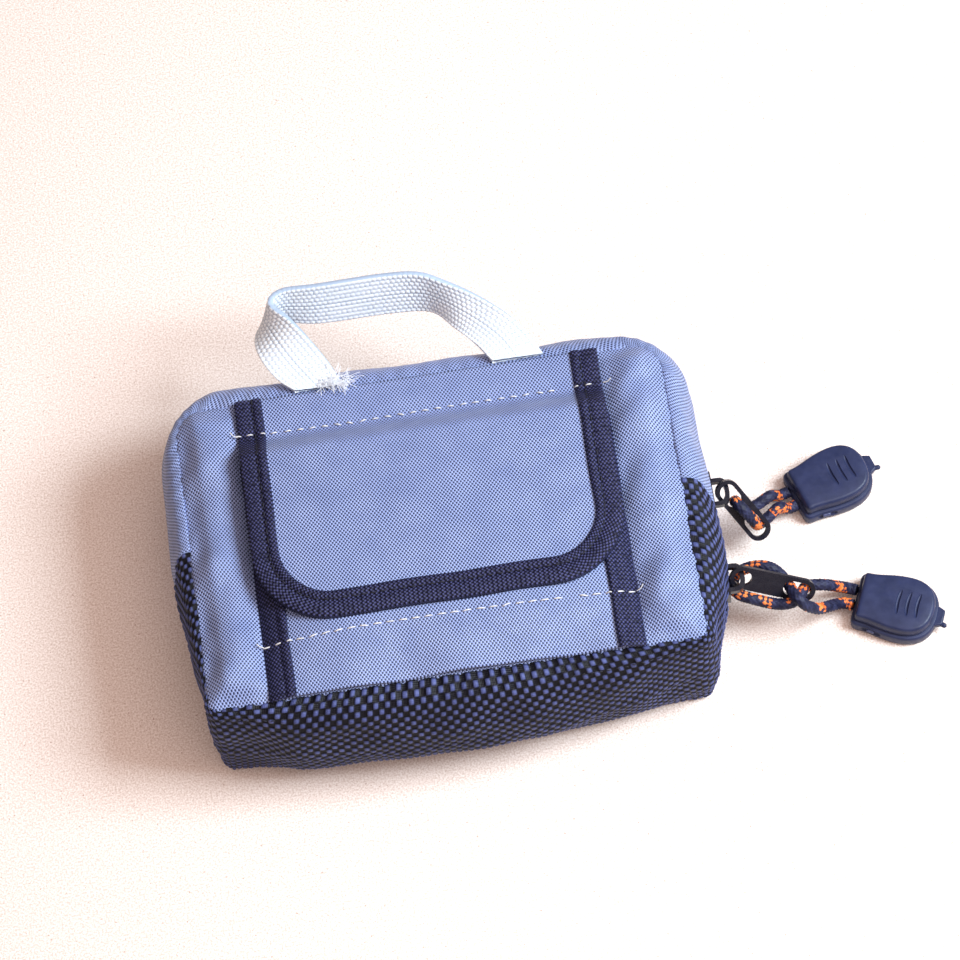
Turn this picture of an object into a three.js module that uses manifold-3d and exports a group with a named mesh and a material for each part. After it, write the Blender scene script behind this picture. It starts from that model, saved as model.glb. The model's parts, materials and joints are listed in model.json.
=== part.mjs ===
// Miniature padded carry case: a soft pouch with a zip round three sides, a front pocket under a flap,
// a webbing handle, and two zip sliders whose tabs carry a looped cord with a moulded cord end.
// It lies on its back. Millimetres: X across, Y toward the handle, Z up from the back panel to the flap.
import * as THREE from "three";
import { mergeVertices } from "three/addons/utils/BufferGeometryUtils.js";
import Module from "manifold-3d";

const wasm = await Module();
wasm.setup();

// Driving dimensions of the padded shell.
const PANEL_WIDTH = 140;
const PANEL_HEIGHT = 92.5;
const DEPTH = 44; // back panel to front seam
const BULGE = 8; // how far the sides swell past the panels at mid depth
const TOP_RADIUS = [13, 30]; // plan radius of the handle-side corners, at the seams and at mid depth
const BOTTOM_RADIUS = [6, 20];
const FABRIC = 1.2;
const GAP = 0.3;
const FOAM = 3;
const LINING = 0.5;
const ARC_STEPS = 7;

// The zip lies at mid depth, between a rear and a front half.
const ZIP_Z = DEPTH / 2;
const ZIP_HALF_OPENING = 6; // from the zip line to the edge of each gusset
const ZIP_INSET = 2; // the tape runs this far inside the widest outline
const ZIP_END_Y = -34;
const TAPE = 0.8;
const COIL = 2;
const COIL_GAP = 0.6; // each coil stops this far from the zip line
const BOTTOM_JOIN_GAP = 0.15;

// The black bottom climbs both sides as wings, highest at the panels.
const WING_Y = 2.8;
const WING_DROP = 6;

// Front pocket, its side tapes, and the flap over it.
const POCKET_HALF_WIDTH = 52;
const POCKET_RISE = 5.7;
const POCKET_TOP_Y = 26;
const POCKET_BOTTOM_Y = -45.6;
const POCKET_WALL = 0.8;
const BINDING_WIDTH = 7.7;
const FLAP_HINGE_Y = 34.5;
const FLAP_END_Y = -26.5;
const FLAP_RADIUS = 21.5;
const FLAP_TOP = 53.6;
const STRIP = { width: 56, height: 12, thickness: 0.5, y: -12 };

// Handle, sliders, tabs, cords and cord ends.
const STRAP_THICKNESS = 1.6;
const SLIDER_Y = { upper: 6.5, lower: -20.5 };
const SLIDER_GAP = 3.2;
const SLIDER_PLATE = 1.2;
const CROWN = { reach: 3.5, half: 3, bar: 1.3, thickness: 1.8 };
const TAB = { width: 7, thickness: 1.2, rail: 1.2, window: 8.2, grip: 3.5 };
const CORD = 3.2;
const CORD_END = { length: 24, width: 19.4, neck: 16.6, height: 8.2, floor: 0.2 };

const group = new THREE.Group();

function material(color, roughness, metalness = 0) {
  return new THREE.MeshStandardMaterial({ color, roughness, metalness });
}

const greyNylon = material(0x76839c, 0.75);
const blackBallistic = material(0x1b1c26, 0.7);
const blackBinding = material(0x191a22, 0.8);
const webbing = material(0xc9d3dc, 0.8);
const liningCloth = material(0x3a3d46, 0.85);
const foam = material(0xd8d4c8, 0.95);
const zipTape = material(0x20222c, 0.85);
const zipCoil = material(0x15161c, 0.5);
const hookLoop = material(0x17181d, 0.95);
const sliderMetal = material(0x22232a, 0.35, 0.8);
const cordBraid = material(0x2a2430, 0.85);
const mouldedPlastic = material(0x23252e, 0.55);

function addMesh(name, geometry, look) {
  const mesh = new THREE.Mesh(geometry, look);
  mesh.name = name;
  group.add(mesh);
  return mesh;
}

// A closed body through sections of equal point count. Each section's points pair up from its two ends,
// so that a thin strip and a convex outline are both capped by quads across it.
function skin(sections, loop = false) {
  const count = sections[0].length;
  const index = [];
  const quad = (a, b, c, d) => index.push(a, b, c, a, c, d);
  const rows = loop ? sections.length : sections.length - 1;
  for (let row = 0; row < rows; row++) {
    const here = row * count;
    const next = ((row + 1) % sections.length) * count;
    for (let i = 0; i < count; i++) {
      const j = (i + 1) % count;
      quad(here + i, here + j, next + j, next + i);
    }
  }
  if (!loop) {
    const last = (sections.length - 1) * count;
    for (let i = 0; i < count / 2 - 1; i++) {
      quad(count - 1 - i, count - 2 - i, i + 1, i);
      quad(last + i, last + i + 1, last + count - 2 - i, last + count - 1 - i);
    }
  }
  const points = sections.flat();
  if (signedVolume(points, index) < 0) {
    index.reverse();
  }
  const geometry = new THREE.BufferGeometry();
  geometry.setFromPoints(points);
  geometry.setIndex(index);
  return geometry;
}

function signedVolume(points, index) {
  let sum = 0;
  const cross = new THREE.Vector3();
  for (let i = 0; i < index.length; i += 3) {
    cross.crossVectors(points[index[i + 1]], points[index[i + 2]]);
    sum += points[index[i]].dot(cross);
  }
  return sum;
}

// Outline of the shell in plan at a height, pulled in by an inset.
function outline(z, inset) {
  const swell = Math.pow(Math.max(0, Math.sin((Math.PI * z) / DEPTH)), 0.7);
  return {
    x: PANEL_WIDTH / 2 + BULGE * swell - inset,
    y: PANEL_HEIGHT / 2 + BULGE * swell - inset,
    top: Math.max(1, THREE.MathUtils.lerp(...TOP_RADIUS, swell) - inset),
    bottom: Math.max(1, THREE.MathUtils.lerp(...BOTTOM_RADIUS, swell) - inset),
  };
}

function arcPoint(centreX, centreY, radius, angle, z) {
  return new THREE.Vector3(centreX + radius * Math.cos(angle), centreY + radius * Math.sin(angle), z);
}

// Stations run anticlockwise: a straight end, two corner arcs, a straight end.
const STATIONS = 2 * (ARC_STEPS + 1) + 2;

function station(i, z, inset, upper, endY, shapeZ = z) {
  const o = outline(shapeZ, inset);
  const side = upper ? 1 : -1;
  if (i === 0 || i === STATIONS - 1) {
    return new THREE.Vector3(i === 0 ? side * o.x : -side * o.x, endY, z);
  }
  const arc = i <= ARC_STEPS + 1 ? 0 : 1;
  const step = i - 1 - arc * (ARC_STEPS + 1);
  const radius = upper ? o.top : o.bottom;
  const centreX = (arc === 0 ? side : -side) * (o.x - radius);
  const angle = (upper ? 0 : Math.PI) + ((arc + step / ARC_STEPS) * Math.PI) / 2;
  return arcPoint(centreX, side * (o.y - radius), radius, angle, z);
}

// How far a station is round a bottom corner: 0 on the wing, 1 along the bottom edge.
function cornerTurn(i) {
  const step = Math.min(i, STATIONS - 1 - i) - 1;
  return THREE.MathUtils.clamp(step / ARC_STEPS, 0, 1);
}

function wingY(z) {
  const fromPanel = Math.min(z, DEPTH - z) / (ZIP_Z - ZIP_HALF_OPENING);
  return WING_Y - WING_DROP * fromPanel;
}

// One gusset wall between two heights, each of which may change from station to station.
function wall(lowAt, highAt, upper, endShift) {
  const levels = [0, 0.2, 0.45, 0.7, 1];
  const sections = [];
  for (let i = 0; i < STATIONS; i++) {
    const point = (t, inset) => {
      const z = THREE.MathUtils.lerp(lowAt(i), highAt(i), t);
      return station(i, z, inset, upper, wingY(z) + endShift);
    };
    const outer = levels.map((t) => point(t, 0));
    const inner = levels.map((t) => point(t, FABRIC)).reverse();
    sections.push([...outer, ...inner]);
  }
  return skin(sections);
}

function ring(z, inset, shapeZ = z) {
  const points = [];
  for (let i = 1; i < STATIONS - 1; i++) {
    points.push(station(i, z, inset, true, 0, shapeZ));
  }
  for (let i = 1; i < STATIONS - 1; i++) {
    points.push(station(i, z, inset, false, 0, shapeZ));
  }
  return points;
}

function slab(low, high, inset) {
  return skin([ring(low, inset, 0), ring(high, inset, 0)]);
}

// A lining tray: a floor against the foam and a wall that backs the gusset.
function tray(floorZ, rimZ) {
  const inward = Math.sign(rimZ - floorZ);
  const heights = [0, 0.4, 0.7, 1].map((t) => THREE.MathUtils.lerp(floorZ, rimZ, t));
  const inside = [floorZ + inward * LINING, ...heights.slice(1)].reverse();
  const outset = FABRIC + GAP;
  return skin([...heights.map((z) => ring(z, outset)), ...inside.map((z) => ring(z, outset + LINING))]);
}

// A strip of constant section that follows the zip round the right side, the top and the left side.
function zipStrip(low, high, thickness) {
  const sections = [];
  for (let i = 0; i < STATIONS; i++) {
    const point = (z, inset) => station(i, z, inset, true, ZIP_END_Y, ZIP_Z);
    const outer = ZIP_INSET - thickness / 2;
    const inner = ZIP_INSET + thickness / 2;
    sections.push([point(low, outer), point(high, outer), point(high, inner), point(low, inner)]);
  }
  return skin(sections);
}

function addShellHalf(prefix, panelName, foamName, mirror) {
  const z = (height) => (mirror ? DEPTH - height : height);
  const seam = FABRIC + GAP;
  const band = (heightAt) => (i) => z(heightAt(i));
  const low = band(() => seam);
  const grey = band(() => ZIP_Z - ZIP_HALF_OPENING);
  const black = band((i) => ZIP_Z - THREE.MathUtils.lerp(ZIP_HALF_OPENING, BOTTOM_JOIN_GAP, cornerTurn(i)));
  addMesh(panelName, slab(z(0), z(FABRIC), 0), greyNylon);
  addMesh(foamName, slab(z(seam), z(seam + FOAM), FABRIC + GAP), foam);
  addMesh(`${prefix}_gusset`, wall(low, grey, true, GAP / 2), greyNylon);
  addMesh(`${prefix}_bottom`, wall(low, black, false, -GAP / 2), blackBallistic);
  addMesh(`${prefix}_lining`, tray(z(seam + FOAM + GAP), z(ZIP_Z - ZIP_HALF_OPENING)), liningCloth);
  const tapeSpan = [ZIP_Z - ZIP_HALF_OPENING + GAP, ZIP_Z - COIL_GAP - COIL - GAP].map(z);
  const coilSpan = [ZIP_Z - COIL_GAP - COIL, ZIP_Z - COIL_GAP].map(z);
  addMesh(`${prefix}_zip_tape`, zipStrip(...tapeSpan, TAPE), zipTape);
  addMesh(`${prefix}_zip_coil`, zipStrip(...coilSpan, COIL), zipCoil);
}

// Height of the pocket's outer face above its foot, over its width and down its length.
const POCKET_FOOT = DEPTH + GAP;

function pocketTop(x, y, lift = 0) {
  const across = 1 - Math.pow(Math.abs(x) / POCKET_HALF_WIDTH, 6);
  const down = THREE.MathUtils.smoothstep(y, POCKET_BOTTOM_Y - 6, POCKET_BOTTOM_Y + 20);
  return POCKET_FOOT + POCKET_RISE * across * (0.12 + 0.88 * down) + lift;
}

// One section across the pocket: up from its foot at the left, over the outer face, and back inside the wall.
function pocketSection(y) {
  const reach = POCKET_HALF_WIDTH;
  const inside = reach - POCKET_WALL;
  const lanes = [-0.99, -0.95, -0.88, -0.78, -0.5, 0, 0.5, 0.78, 0.88, 0.95, 0.99];
  const foot = (x) => new THREE.Vector3(x, y, POCKET_FOOT);
  const outer = lanes.map((s, i) => {
    const outermost = i === 0 || i === lanes.length - 1;
    return new THREE.Vector3(outermost ? Math.sign(s) * reach : s * reach, y, pocketTop(s * reach, y));
  });
  const inner = lanes.map((s) => {
    const z = pocketTop(s * reach, y) - POCKET_WALL;
    return new THREE.Vector3(s * inside, y, Math.max(POCKET_FOOT, z));
  });
  return [foot(-reach), ...outer, foot(reach), foot(inside), ...inner.reverse(), foot(-inside)];
}

// One section across a side tape, which covers the pocket's edge and turns down beside it.
function tapeSection(y, side) {
  const reach = POCKET_HALF_WIDTH;
  const lanes = [reach - BINDING_WIDTH, reach - 4, reach - 1.5];
  const turn = pocketTop(0.99 * reach, y, GAP);
  const face = (lift, edge) => [
    ...lanes.map((x) => [x, pocketTop(x, y, GAP) + lift]),
    [edge, turn + lift],
    [edge, POCKET_FOOT],
  ];
  const inner = face(0, reach + GAP);
  const outer = face(POCKET_WALL, reach + GAP + POCKET_WALL);
  return [...inner, ...outer.reverse()].map(([x, z]) => new THREE.Vector3(side * x, y, z));
}

function addPocket() {
  const rows = [POCKET_TOP_Y, -20, -26, -32, -38, -42, POCKET_BOTTOM_Y];
  addMesh("pocket_panel", skin(rows.map(pocketSection)), greyNylon);
  addMesh("pocket_tape_left", skin(rows.map((y) => tapeSection(y, -1))), blackBinding);
  addMesh("pocket_tape_right", skin(rows.map((y) => tapeSection(y, 1))), blackBinding);
  const patch = new THREE.BoxGeometry(STRIP.width, STRIP.height, STRIP.thickness);
  const patchZ = pocketTop(0, STRIP.y, GAP + STRIP.thickness / 2);
  addMesh("pocket_loop_strip", patch, hookLoop).position.set(0, STRIP.y, patchZ);
}

// Underside height of the flap: it climbs from its stitch line over the pocket's mouth, then lies flat.
function flapUnder(y) {
  const climb = THREE.MathUtils.smoothstep(FLAP_HINGE_Y - y, 0, FLAP_HINGE_Y - POCKET_TOP_Y);
  return THREE.MathUtils.lerp(DEPTH + GAP + 0.5, FLAP_TOP - POCKET_WALL, climb);
}

function addFlap() {
  const half = POCKET_HALF_WIDTH - BINDING_WIDTH;
  const innerRadius = FLAP_RADIUS - BINDING_WIDTH;
  const innerEnd = FLAP_END_Y + BINDING_WIDTH;
  const climb = FLAP_HINGE_Y - POCKET_TOP_Y;
  const startY = FLAP_HINGE_Y - GAP;
  const rows = [[startY, half]];
  for (const t of [0.3, 0.6, 1]) {
    rows.push([startY - t * climb, half]);
  }
  for (let i = 0; i <= ARC_STEPS; i++) {
    const angle = ((Math.PI / 2) * i) / ARC_STEPS;
    const y = innerEnd + innerRadius * (1 - Math.sin(angle));
    rows.push([y, half - innerRadius * (1 - Math.cos(angle))]);
  }
  const panel = rows.map(([y, x]) => {
    const z = flapUnder(y);
    const corners = [[-x, z], [x, z], [x, z + POCKET_WALL], [-x, z + POCKET_WALL]];
    return corners.map(([px, pz]) => new THREE.Vector3(px, y, pz));
  });
  addMesh("flap_panel", skin(panel), greyNylon);

  // Binding centre line: down the right edge, round the corners, along the end, up the left edge.
  const edge = half + GAP;
  const route = rows.slice(0, 4).map(([y]) => ({ x: edge, y, nx: 1, ny: 0 }));
  const cornerY = innerEnd + innerRadius;
  for (let i = 0; i <= ARC_STEPS; i++) {
    const angle = ((Math.PI / 2) * i) / ARC_STEPS;
    const nx = Math.cos(angle);
    const ny = -Math.sin(angle);
    const radius = innerRadius + GAP;
    route.push({ x: half - innerRadius + radius * nx, y: cornerY + radius * ny, nx, ny });
  }
  const mirrored = route.map((r) => ({ ...r, x: -r.x, nx: -r.nx })).reverse();
  const width = BINDING_WIDTH - GAP;
  const binding = [...route, ...mirrored].map(({ x, y, nx, ny }) => {
    const z = flapUnder(y) - 0.4;
    const top = z + 2 * POCKET_WALL;
    const corners = [[0, z], [width, z], [width, top], [0, top]];
    return corners.map(([out, pz]) => new THREE.Vector3(x + nx * out, y + ny * out, pz));
  });
  addMesh("flap_binding", skin(binding), blackBinding);

  const rootDepth = PANEL_HEIGHT / 2 - 0.6 - FLAP_HINGE_Y;
  const root = new THREE.BoxGeometry(2 * POCKET_HALF_WIDTH, rootDepth, POCKET_WALL);
  const rootZ = DEPTH + GAP + 0.5 + POCKET_WALL / 2;
  addMesh("flap_root", root, greyNylon).position.set(0, FLAP_HINGE_Y + rootDepth / 2, rootZ);
  const strip = new THREE.BoxGeometry(STRIP.width, STRIP.height, STRIP.thickness);
  const stripZ = FLAP_TOP - POCKET_WALL - GAP - STRIP.thickness / 2;
  addMesh("flap_hook_strip", strip, hookLoop).position.set(0, STRIP.y, stripZ);
}

// The strap lies between two edge curves, upper then lower. It stands on edge along its middle, turns back on
// itself at the left, folds over at the right, and lies flat where both ends are sewn in.
const STRAP_EDGES = [
  [[-20.5, 46.9, 45.3], [-34.5, 46.9, 45.1]],
  [[-24, 53.5, 48], [-38.5, 51, 45]],
  [[-28.5, 60, 51.5], [-42.5, 57.5, 46.5]],
  [[-33, 66, 53.5], [-43.5, 65, 43.5]],
  [[-37.5, 71.5, 54], [-41.5, 71, 40]],
  [[-34, 75, 54], [-36, 73, 39.8]],
  [[-24, 75, 54.2], [-25, 70.8, 39.8]],
  [[-5, 75, 54.4], [-5, 70.4, 40]],
  [[5, 74, 54.3], [5, 69.6, 40]],
  [[12, 71, 52.8], [9.5, 67, 40.6]],
  [[20, 66.5, 50.6], [13.2, 61, 42.5]],
  [[27.5, 60.5, 49], [16.2, 56.6, 43.8]],
  [[33, 54.5, 47.2], [19.3, 52.2, 44.7]],
  [[37, 46.9, 45.3], [22.3, 46.9, 45.1]],
];

function addHandle() {
  const curve = (side) => new THREE.CatmullRomCurve3(STRAP_EDGES.map((e) => new THREE.Vector3(...e[side])));
  const inner = curve(0);
  const outer = curve(1);
  const steps = 40;
  const sections = [];
  for (let i = 0; i <= steps; i++) {
    const a = inner.getPoint(i / steps);
    const b = outer.getPoint(i / steps);
    const along = inner.getTangent(i / steps).add(outer.getTangent(i / steps));
    const normal = b.clone().sub(a).cross(along).normalize().multiplyScalar(STRAP_THICKNESS / 2);
    sections.push([
      a.clone().add(normal),
      b.clone().add(normal),
      b.clone().sub(normal),
      a.clone().sub(normal),
    ]);
  }
  addMesh("handle_strap", skin(sections), webbing);
}

function toManifold(source) {
  let geometry = source.clone();
  geometry.deleteAttribute("normal");
  geometry.deleteAttribute("uv");
  geometry = mergeVertices(geometry, 1e-4);
  const vertProperties = new Float32Array(geometry.attributes.position.array);
  const triVerts = new Uint32Array(geometry.index.array);
  return new wasm.Manifold(new wasm.Mesh({ numProp: 3, vertProperties, triVerts }));
}

function fromManifold(solid) {
  const mesh = solid.getMesh();
  const geometry = new THREE.BufferGeometry();
  geometry.setAttribute("position", new THREE.BufferAttribute(mesh.vertProperties, 3));
  geometry.setIndex(new THREE.BufferAttribute(mesh.triVerts, 1));
  return geometry;
}

function join(pieces) {
  return fromManifold(pieces.map(toManifold).reduce((whole, piece) => whole.add(piece)));
}

function box(x, y, z) {
  const size = [x, y, z].map(([low, high]) => high - low);
  const centre = [x, y, z].map(([low, high]) => (high + low) / 2);
  return new THREE.BoxGeometry(...size).translate(...centre);
}

const TAPE_X = PANEL_WIDTH / 2 + BULGE - ZIP_INSET;
const PLATE_FACE_X = TAPE_X + SLIDER_GAP / 2 + SLIDER_PLATE;

function plateShape() {
  const outlinePoints = [[-4, -4.6], [-4, 3], [-2.4, 6], [2.4, 6], [4, 3], [4, -4.6], [2.8, -6], [-2.8, -6]];
  return new THREE.Shape(outlinePoints.map(([z, y]) => new THREE.Vector2(z, y)));
}

// Slider: two plates joined by a wedge post, lips that hold the rear coil, and a crown for the tab.
function sliderGeometry() {
  const plate = new THREE.ExtrudeGeometry(plateShape(), { depth: SLIDER_PLATE, bevelEnabled: false });
  plate.rotateY(Math.PI / 2);
  const half = SLIDER_GAP / 2;
  const outer = plate.clone().translate(half, 0, 0);
  const inner = plate.clone().translate(-half - SLIDER_PLATE, 0, 0);
  const post = box([-half - 0.2, half + 0.2], [2, 5.5], [-0.3, 0.3]);
  const outerLip = box([half - 0.8, half + 0.2], [-4.4, 3], [-4, -3]);
  const innerLip = box([-half - 0.2, -half + 0.8], [-4.4, 3], [-4, -3]);
  const face = half + SLIDER_PLATE;
  const rim = CROWN.half + CROWN.bar;
  const crown = new THREE.Shape();
  crown.moveTo(face - 0.3, -rim);
  crown.lineTo(face + CROWN.reach - 1.5, -rim);
  crown.quadraticCurveTo(face + CROWN.reach + CROWN.bar, -rim, face + CROWN.reach + CROWN.bar, 0);
  crown.quadraticCurveTo(face + CROWN.reach + CROWN.bar, rim, face + CROWN.reach - 1.5, rim);
  crown.lineTo(face - 0.3, rim);
  crown.closePath();
  const hole = new THREE.Path();
  hole.moveTo(face, -CROWN.half);
  hole.lineTo(face, CROWN.half);
  hole.lineTo(face + CROWN.reach - 1.6, CROWN.half);
  hole.quadraticCurveTo(face + CROWN.reach, CROWN.half - 0.4, face + CROWN.reach, 0);
  hole.quadraticCurveTo(face + CROWN.reach, -CROWN.half + 0.4, face + CROWN.reach - 1.6, -CROWN.half);
  hole.closePath();
  crown.holes.push(hole);
  const options = { depth: CROWN.thickness, bevelEnabled: false, curveSegments: 6 };
  const bridge = new THREE.ExtrudeGeometry(crown, options).translate(0, 0, -CROWN.thickness / 2);
  return join([outer, inner, post, outerLip, innerLip, bridge]);
}

// A stadium along X from one end to the other, as a shape or as a hole.
function stadium(Target, start, end, halfWidth) {
  const path = new Target();
  path.moveTo(start + halfWidth, -halfWidth);
  path.lineTo(end - halfWidth, -halfWidth);
  path.absarc(end - halfWidth, 0, halfWidth, -Math.PI / 2, Math.PI / 2, false);
  path.lineTo(start + halfWidth, halfWidth);
  path.absarc(start + halfWidth, 0, halfWidth, Math.PI / 2, (3 * Math.PI) / 2, false);
  return path;
}

// A tab with a window for the slider's crown at its start and one for the cord at its end.
function tabGeometry(length, crownWindow) {
  const half = TAB.width / 2;
  const window = half - TAB.rail;
  const shape = stadium(THREE.Shape, 0, length, half);
  shape.holes.push(stadium(THREE.Path, TAB.rail, TAB.rail + crownWindow, window));
  shape.holes.push(stadium(THREE.Path, length - TAB.rail - TAB.window, length - TAB.rail, window));
  const options = { depth: TAB.thickness, bevelEnabled: false, curveSegments: 6 };
  return new THREE.ExtrudeGeometry(shape, options).translate(0, 0, -TAB.thickness / 2);
}

// Each pull: where its tab points and faces, its length, the length of its crown's window, and where its cord
// end lies.
const PULLS = {
  upper: {
    along: [0.49, -0.51, -0.707],
    face: [0.231, -0.706, 0.67],
    length: 22.8,
    crownWindow: 8.2,
    end: [114.2, 13, 17.5],
  },
  lower: {
    along: [0.923, -0.246, -0.293],
    face: [-0.01, -0.782, 0.622],
    length: 25,
    crownWindow: 5,
    end: [126, -29.2, -23],
  },
};

// Cord routes beside the tab: along it from its crown end, across it, and out from its face.
const HITCHES = {
  upper: [
    [15.2, 6.2, -3.4], [14.6, 3, -3], [12.4, 0.6, -2.8], [9.9, 0, -2.7], [7.3, 0, -0.3], [8.8, 0, 2.8],
    [12.5, 0.2, 2.6], [15, 0.3, 2.4], [17.7, 0.3, 0.4], [19.4, 0.9, -2.3], [20.6, 3.2, -3.6], [20.5, 6.2, -3.8],
  ],
  lower: [
    [25.4, 0.9, -3.1], [22.9, 0.4, -2.8], [21.7, 0.1, -0.6], [20.9, -0.6, 2], [19.8, -2.4, 3],
    [17.6, -4, 2.8], [15, -5, 2.2], [12, -5.5, 1.4], [7.4, -5.4, 1], [4, -5.8, -0.4], [2.3, -4.8, -2.8],
    [2.5, -2, -4.9], [5.1, 0.6, -5.2], [8.2, 2.6, -4.2], [11.5, 3.4, -3.1], [14.8, 1.6, -3.5], [17, 0.3, -2.4],
    [17.8, 0, 0.2], [18.1, 0, 2.8], [19.8, -0.6, 5.4], [22.5, -2.2, 5.2], [25.2, -3.2, 3.2],
  ],
};

function tube(points) {
  const section = [];
  for (let i = 0; i < 8; i++) {
    const angle = (Math.PI * i) / 4;
    section.push(new THREE.Vector2((CORD / 2) * Math.cos(angle), (CORD / 2) * Math.sin(angle)));
  }
  const path = new THREE.CatmullRomCurve3(points);
  const steps = Math.max(6, Math.round(path.getLength() / 1.6));
  return new THREE.ExtrudeGeometry(new THREE.Shape(section), { steps, bevelEnabled: false, extrudePath: path });
}

// Outline of a cord end in plan, from its straight neck at -length/2 to its broad round end.
function cordEndShape(shrink) {
  const half = CORD_END.length / 2;
  const neck = CORD_END.neck / 2 - shrink;
  const broad = CORD_END.width / 2 - shrink;
  const round = half - shrink;
  const shape = new THREE.Shape();
  shape.moveTo(-half, -neck + 1.5);
  shape.quadraticCurveTo(-half, -neck, -half + 1.5, -neck);
  shape.lineTo(2, -broad);
  shape.bezierCurveTo(8, -broad, round, -broad + 3, round, 0);
  shape.bezierCurveTo(round, broad - 3, 8, broad, 2, broad);
  shape.lineTo(-half + 1.5, neck);
  shape.quadraticCurveTo(-half, neck, -half, neck - 1.5);
  shape.closePath();
  return shape;
}

function cordEndHalf(low, high, shrink) {
  const options = { depth: high - low, bevelEnabled: false, curveSegments: 4 };
  return new THREE.ExtrudeGeometry(cordEndShape(shrink), options).translate(0, 0, low);
}

function addPull(name, slider) {
  const pull = PULLS[name];
  const along = new THREE.Vector3(...pull.along).normalize();
  const across = new THREE.Vector3(...pull.face).cross(along).normalize();
  const face = along.clone().cross(across);
  const grip = new THREE.Vector3(PLATE_FACE_X + CROWN.reach + CROWN.bar / 2, SLIDER_Y[name], ZIP_Z);
  const start = grip.clone().addScaledVector(along, -TAB.grip);
  const tab = addMesh(`${name}_pull_tab`, tabGeometry(pull.length, pull.crownWindow), sliderMetal);
  tab.position.copy(start);
  tab.quaternion.setFromRotationMatrix(new THREE.Matrix4().makeBasis(along, across, face));

  const hitch = HITCHES[name].map(([t, w, n]) => {
    return start.clone().addScaledVector(along, t).addScaledVector(across, w).addScaledVector(face, n);
  });
  addMesh(`${name}_cord_hitch`, tube(hitch), cordBraid);

  const [endX, endY, degrees] = pull.end;
  const turn = THREE.MathUtils.degToRad(degrees);
  const axis = new THREE.Vector3(Math.cos(turn), Math.sin(turn), 0);
  const side = new THREE.Vector3(-Math.sin(turn), Math.cos(turn), 0);
  const middle = CORD_END.floor + CORD_END.height / 2;
  const mouth = new THREE.Vector3(endX, endY, middle).addScaledVector(axis, -CORD_END.length / 2 - GAP);
  const leads = [[hitch[0], hitch[1], 2.4], [hitch[hitch.length - 1], hitch[hitch.length - 2], -2.4]];
  leads.forEach(([from, before, offset], index) => {
    const leave = from.clone().sub(before).normalize();
    const first = from.clone().addScaledVector(leave, GAP);
    const last = mouth.clone().addScaledVector(side, offset);
    const points = [
      first,
      first.clone().addScaledVector(leave, 2.4),
      last.clone().addScaledVector(axis, -3),
      last,
    ];
    addMesh(`${name}_cord_lead_${index + 1}`, tube(points), cordBraid);
  });

  const split = middle + 0.3;
  const tip = CORD_END.length / 2;
  const lug = box([tip - 1, tip + 2], [-2.4, 2.4], [split - 2.2, split - 0.3]);
  const base = join([cordEndHalf(CORD_END.floor, split, 0), lug]);
  const top = toManifold(cordEndHalf(split + GAP, CORD_END.floor + CORD_END.height, 1));
  const grooveAt = (x) => box([x - 0.5, x + 0.5], [-4, 4], [CORD_END.height - 0.5, CORD_END.height + 1]);
  const grooves = [0.4, 3.2, 6].map(grooveAt).map(toManifold);
  const cap = fromManifold(grooves.reduce((solid, groove) => solid.subtract(groove), top));
  for (const [piece, geometry] of [["base", base], ["cap", cap]]) {
    const mesh = addMesh(`${name}_cord_end_${piece}`, geometry, mouldedPlastic);
    mesh.position.set(endX, endY, 0);
    mesh.rotation.z = turn;
  }
  slider.position.set(TAPE_X, SLIDER_Y[name], ZIP_Z);
}

addShellHalf("rear", "back_panel", "back_foam", false);
addShellHalf("front", "front_panel", "front_foam", true);
addPocket();
addFlap();
addHandle();
for (const name of ["upper", "lower"]) {
  addPull(name, addMesh(`${name}_slider`, sliderGeometry(), sliderMetal));
}

export default group;
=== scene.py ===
"""The looks of the miniature padded carry case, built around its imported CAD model.

Shapes are worked out in millimetres and written to the scene in metres. X runs across the case, Y toward its
handle, Z up from the back panel that it lies on.
"""
import json
import math

import bpy
import numpy as np
from mathutils import Matrix, Vector

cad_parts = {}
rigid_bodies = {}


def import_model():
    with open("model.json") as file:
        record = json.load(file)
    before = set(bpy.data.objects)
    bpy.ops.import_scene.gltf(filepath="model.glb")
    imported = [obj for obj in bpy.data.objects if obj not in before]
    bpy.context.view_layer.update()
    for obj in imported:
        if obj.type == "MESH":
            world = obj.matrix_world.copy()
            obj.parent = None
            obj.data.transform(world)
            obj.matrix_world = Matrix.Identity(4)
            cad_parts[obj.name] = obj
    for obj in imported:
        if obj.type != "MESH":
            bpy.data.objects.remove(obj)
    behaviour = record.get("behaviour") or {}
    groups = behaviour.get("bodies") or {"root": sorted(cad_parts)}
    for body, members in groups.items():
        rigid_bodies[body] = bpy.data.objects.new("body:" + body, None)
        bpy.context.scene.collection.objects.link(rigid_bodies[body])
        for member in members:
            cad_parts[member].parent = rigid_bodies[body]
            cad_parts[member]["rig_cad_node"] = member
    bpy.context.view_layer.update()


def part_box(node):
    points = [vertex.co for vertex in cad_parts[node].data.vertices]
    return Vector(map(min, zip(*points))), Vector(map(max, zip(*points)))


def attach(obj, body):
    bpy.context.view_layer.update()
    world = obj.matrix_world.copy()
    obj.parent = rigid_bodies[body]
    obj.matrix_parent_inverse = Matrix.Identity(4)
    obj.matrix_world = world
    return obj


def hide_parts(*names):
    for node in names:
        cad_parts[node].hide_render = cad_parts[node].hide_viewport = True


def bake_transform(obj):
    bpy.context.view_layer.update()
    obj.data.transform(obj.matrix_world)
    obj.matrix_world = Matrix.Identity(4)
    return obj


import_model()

MM = 0.001

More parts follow.
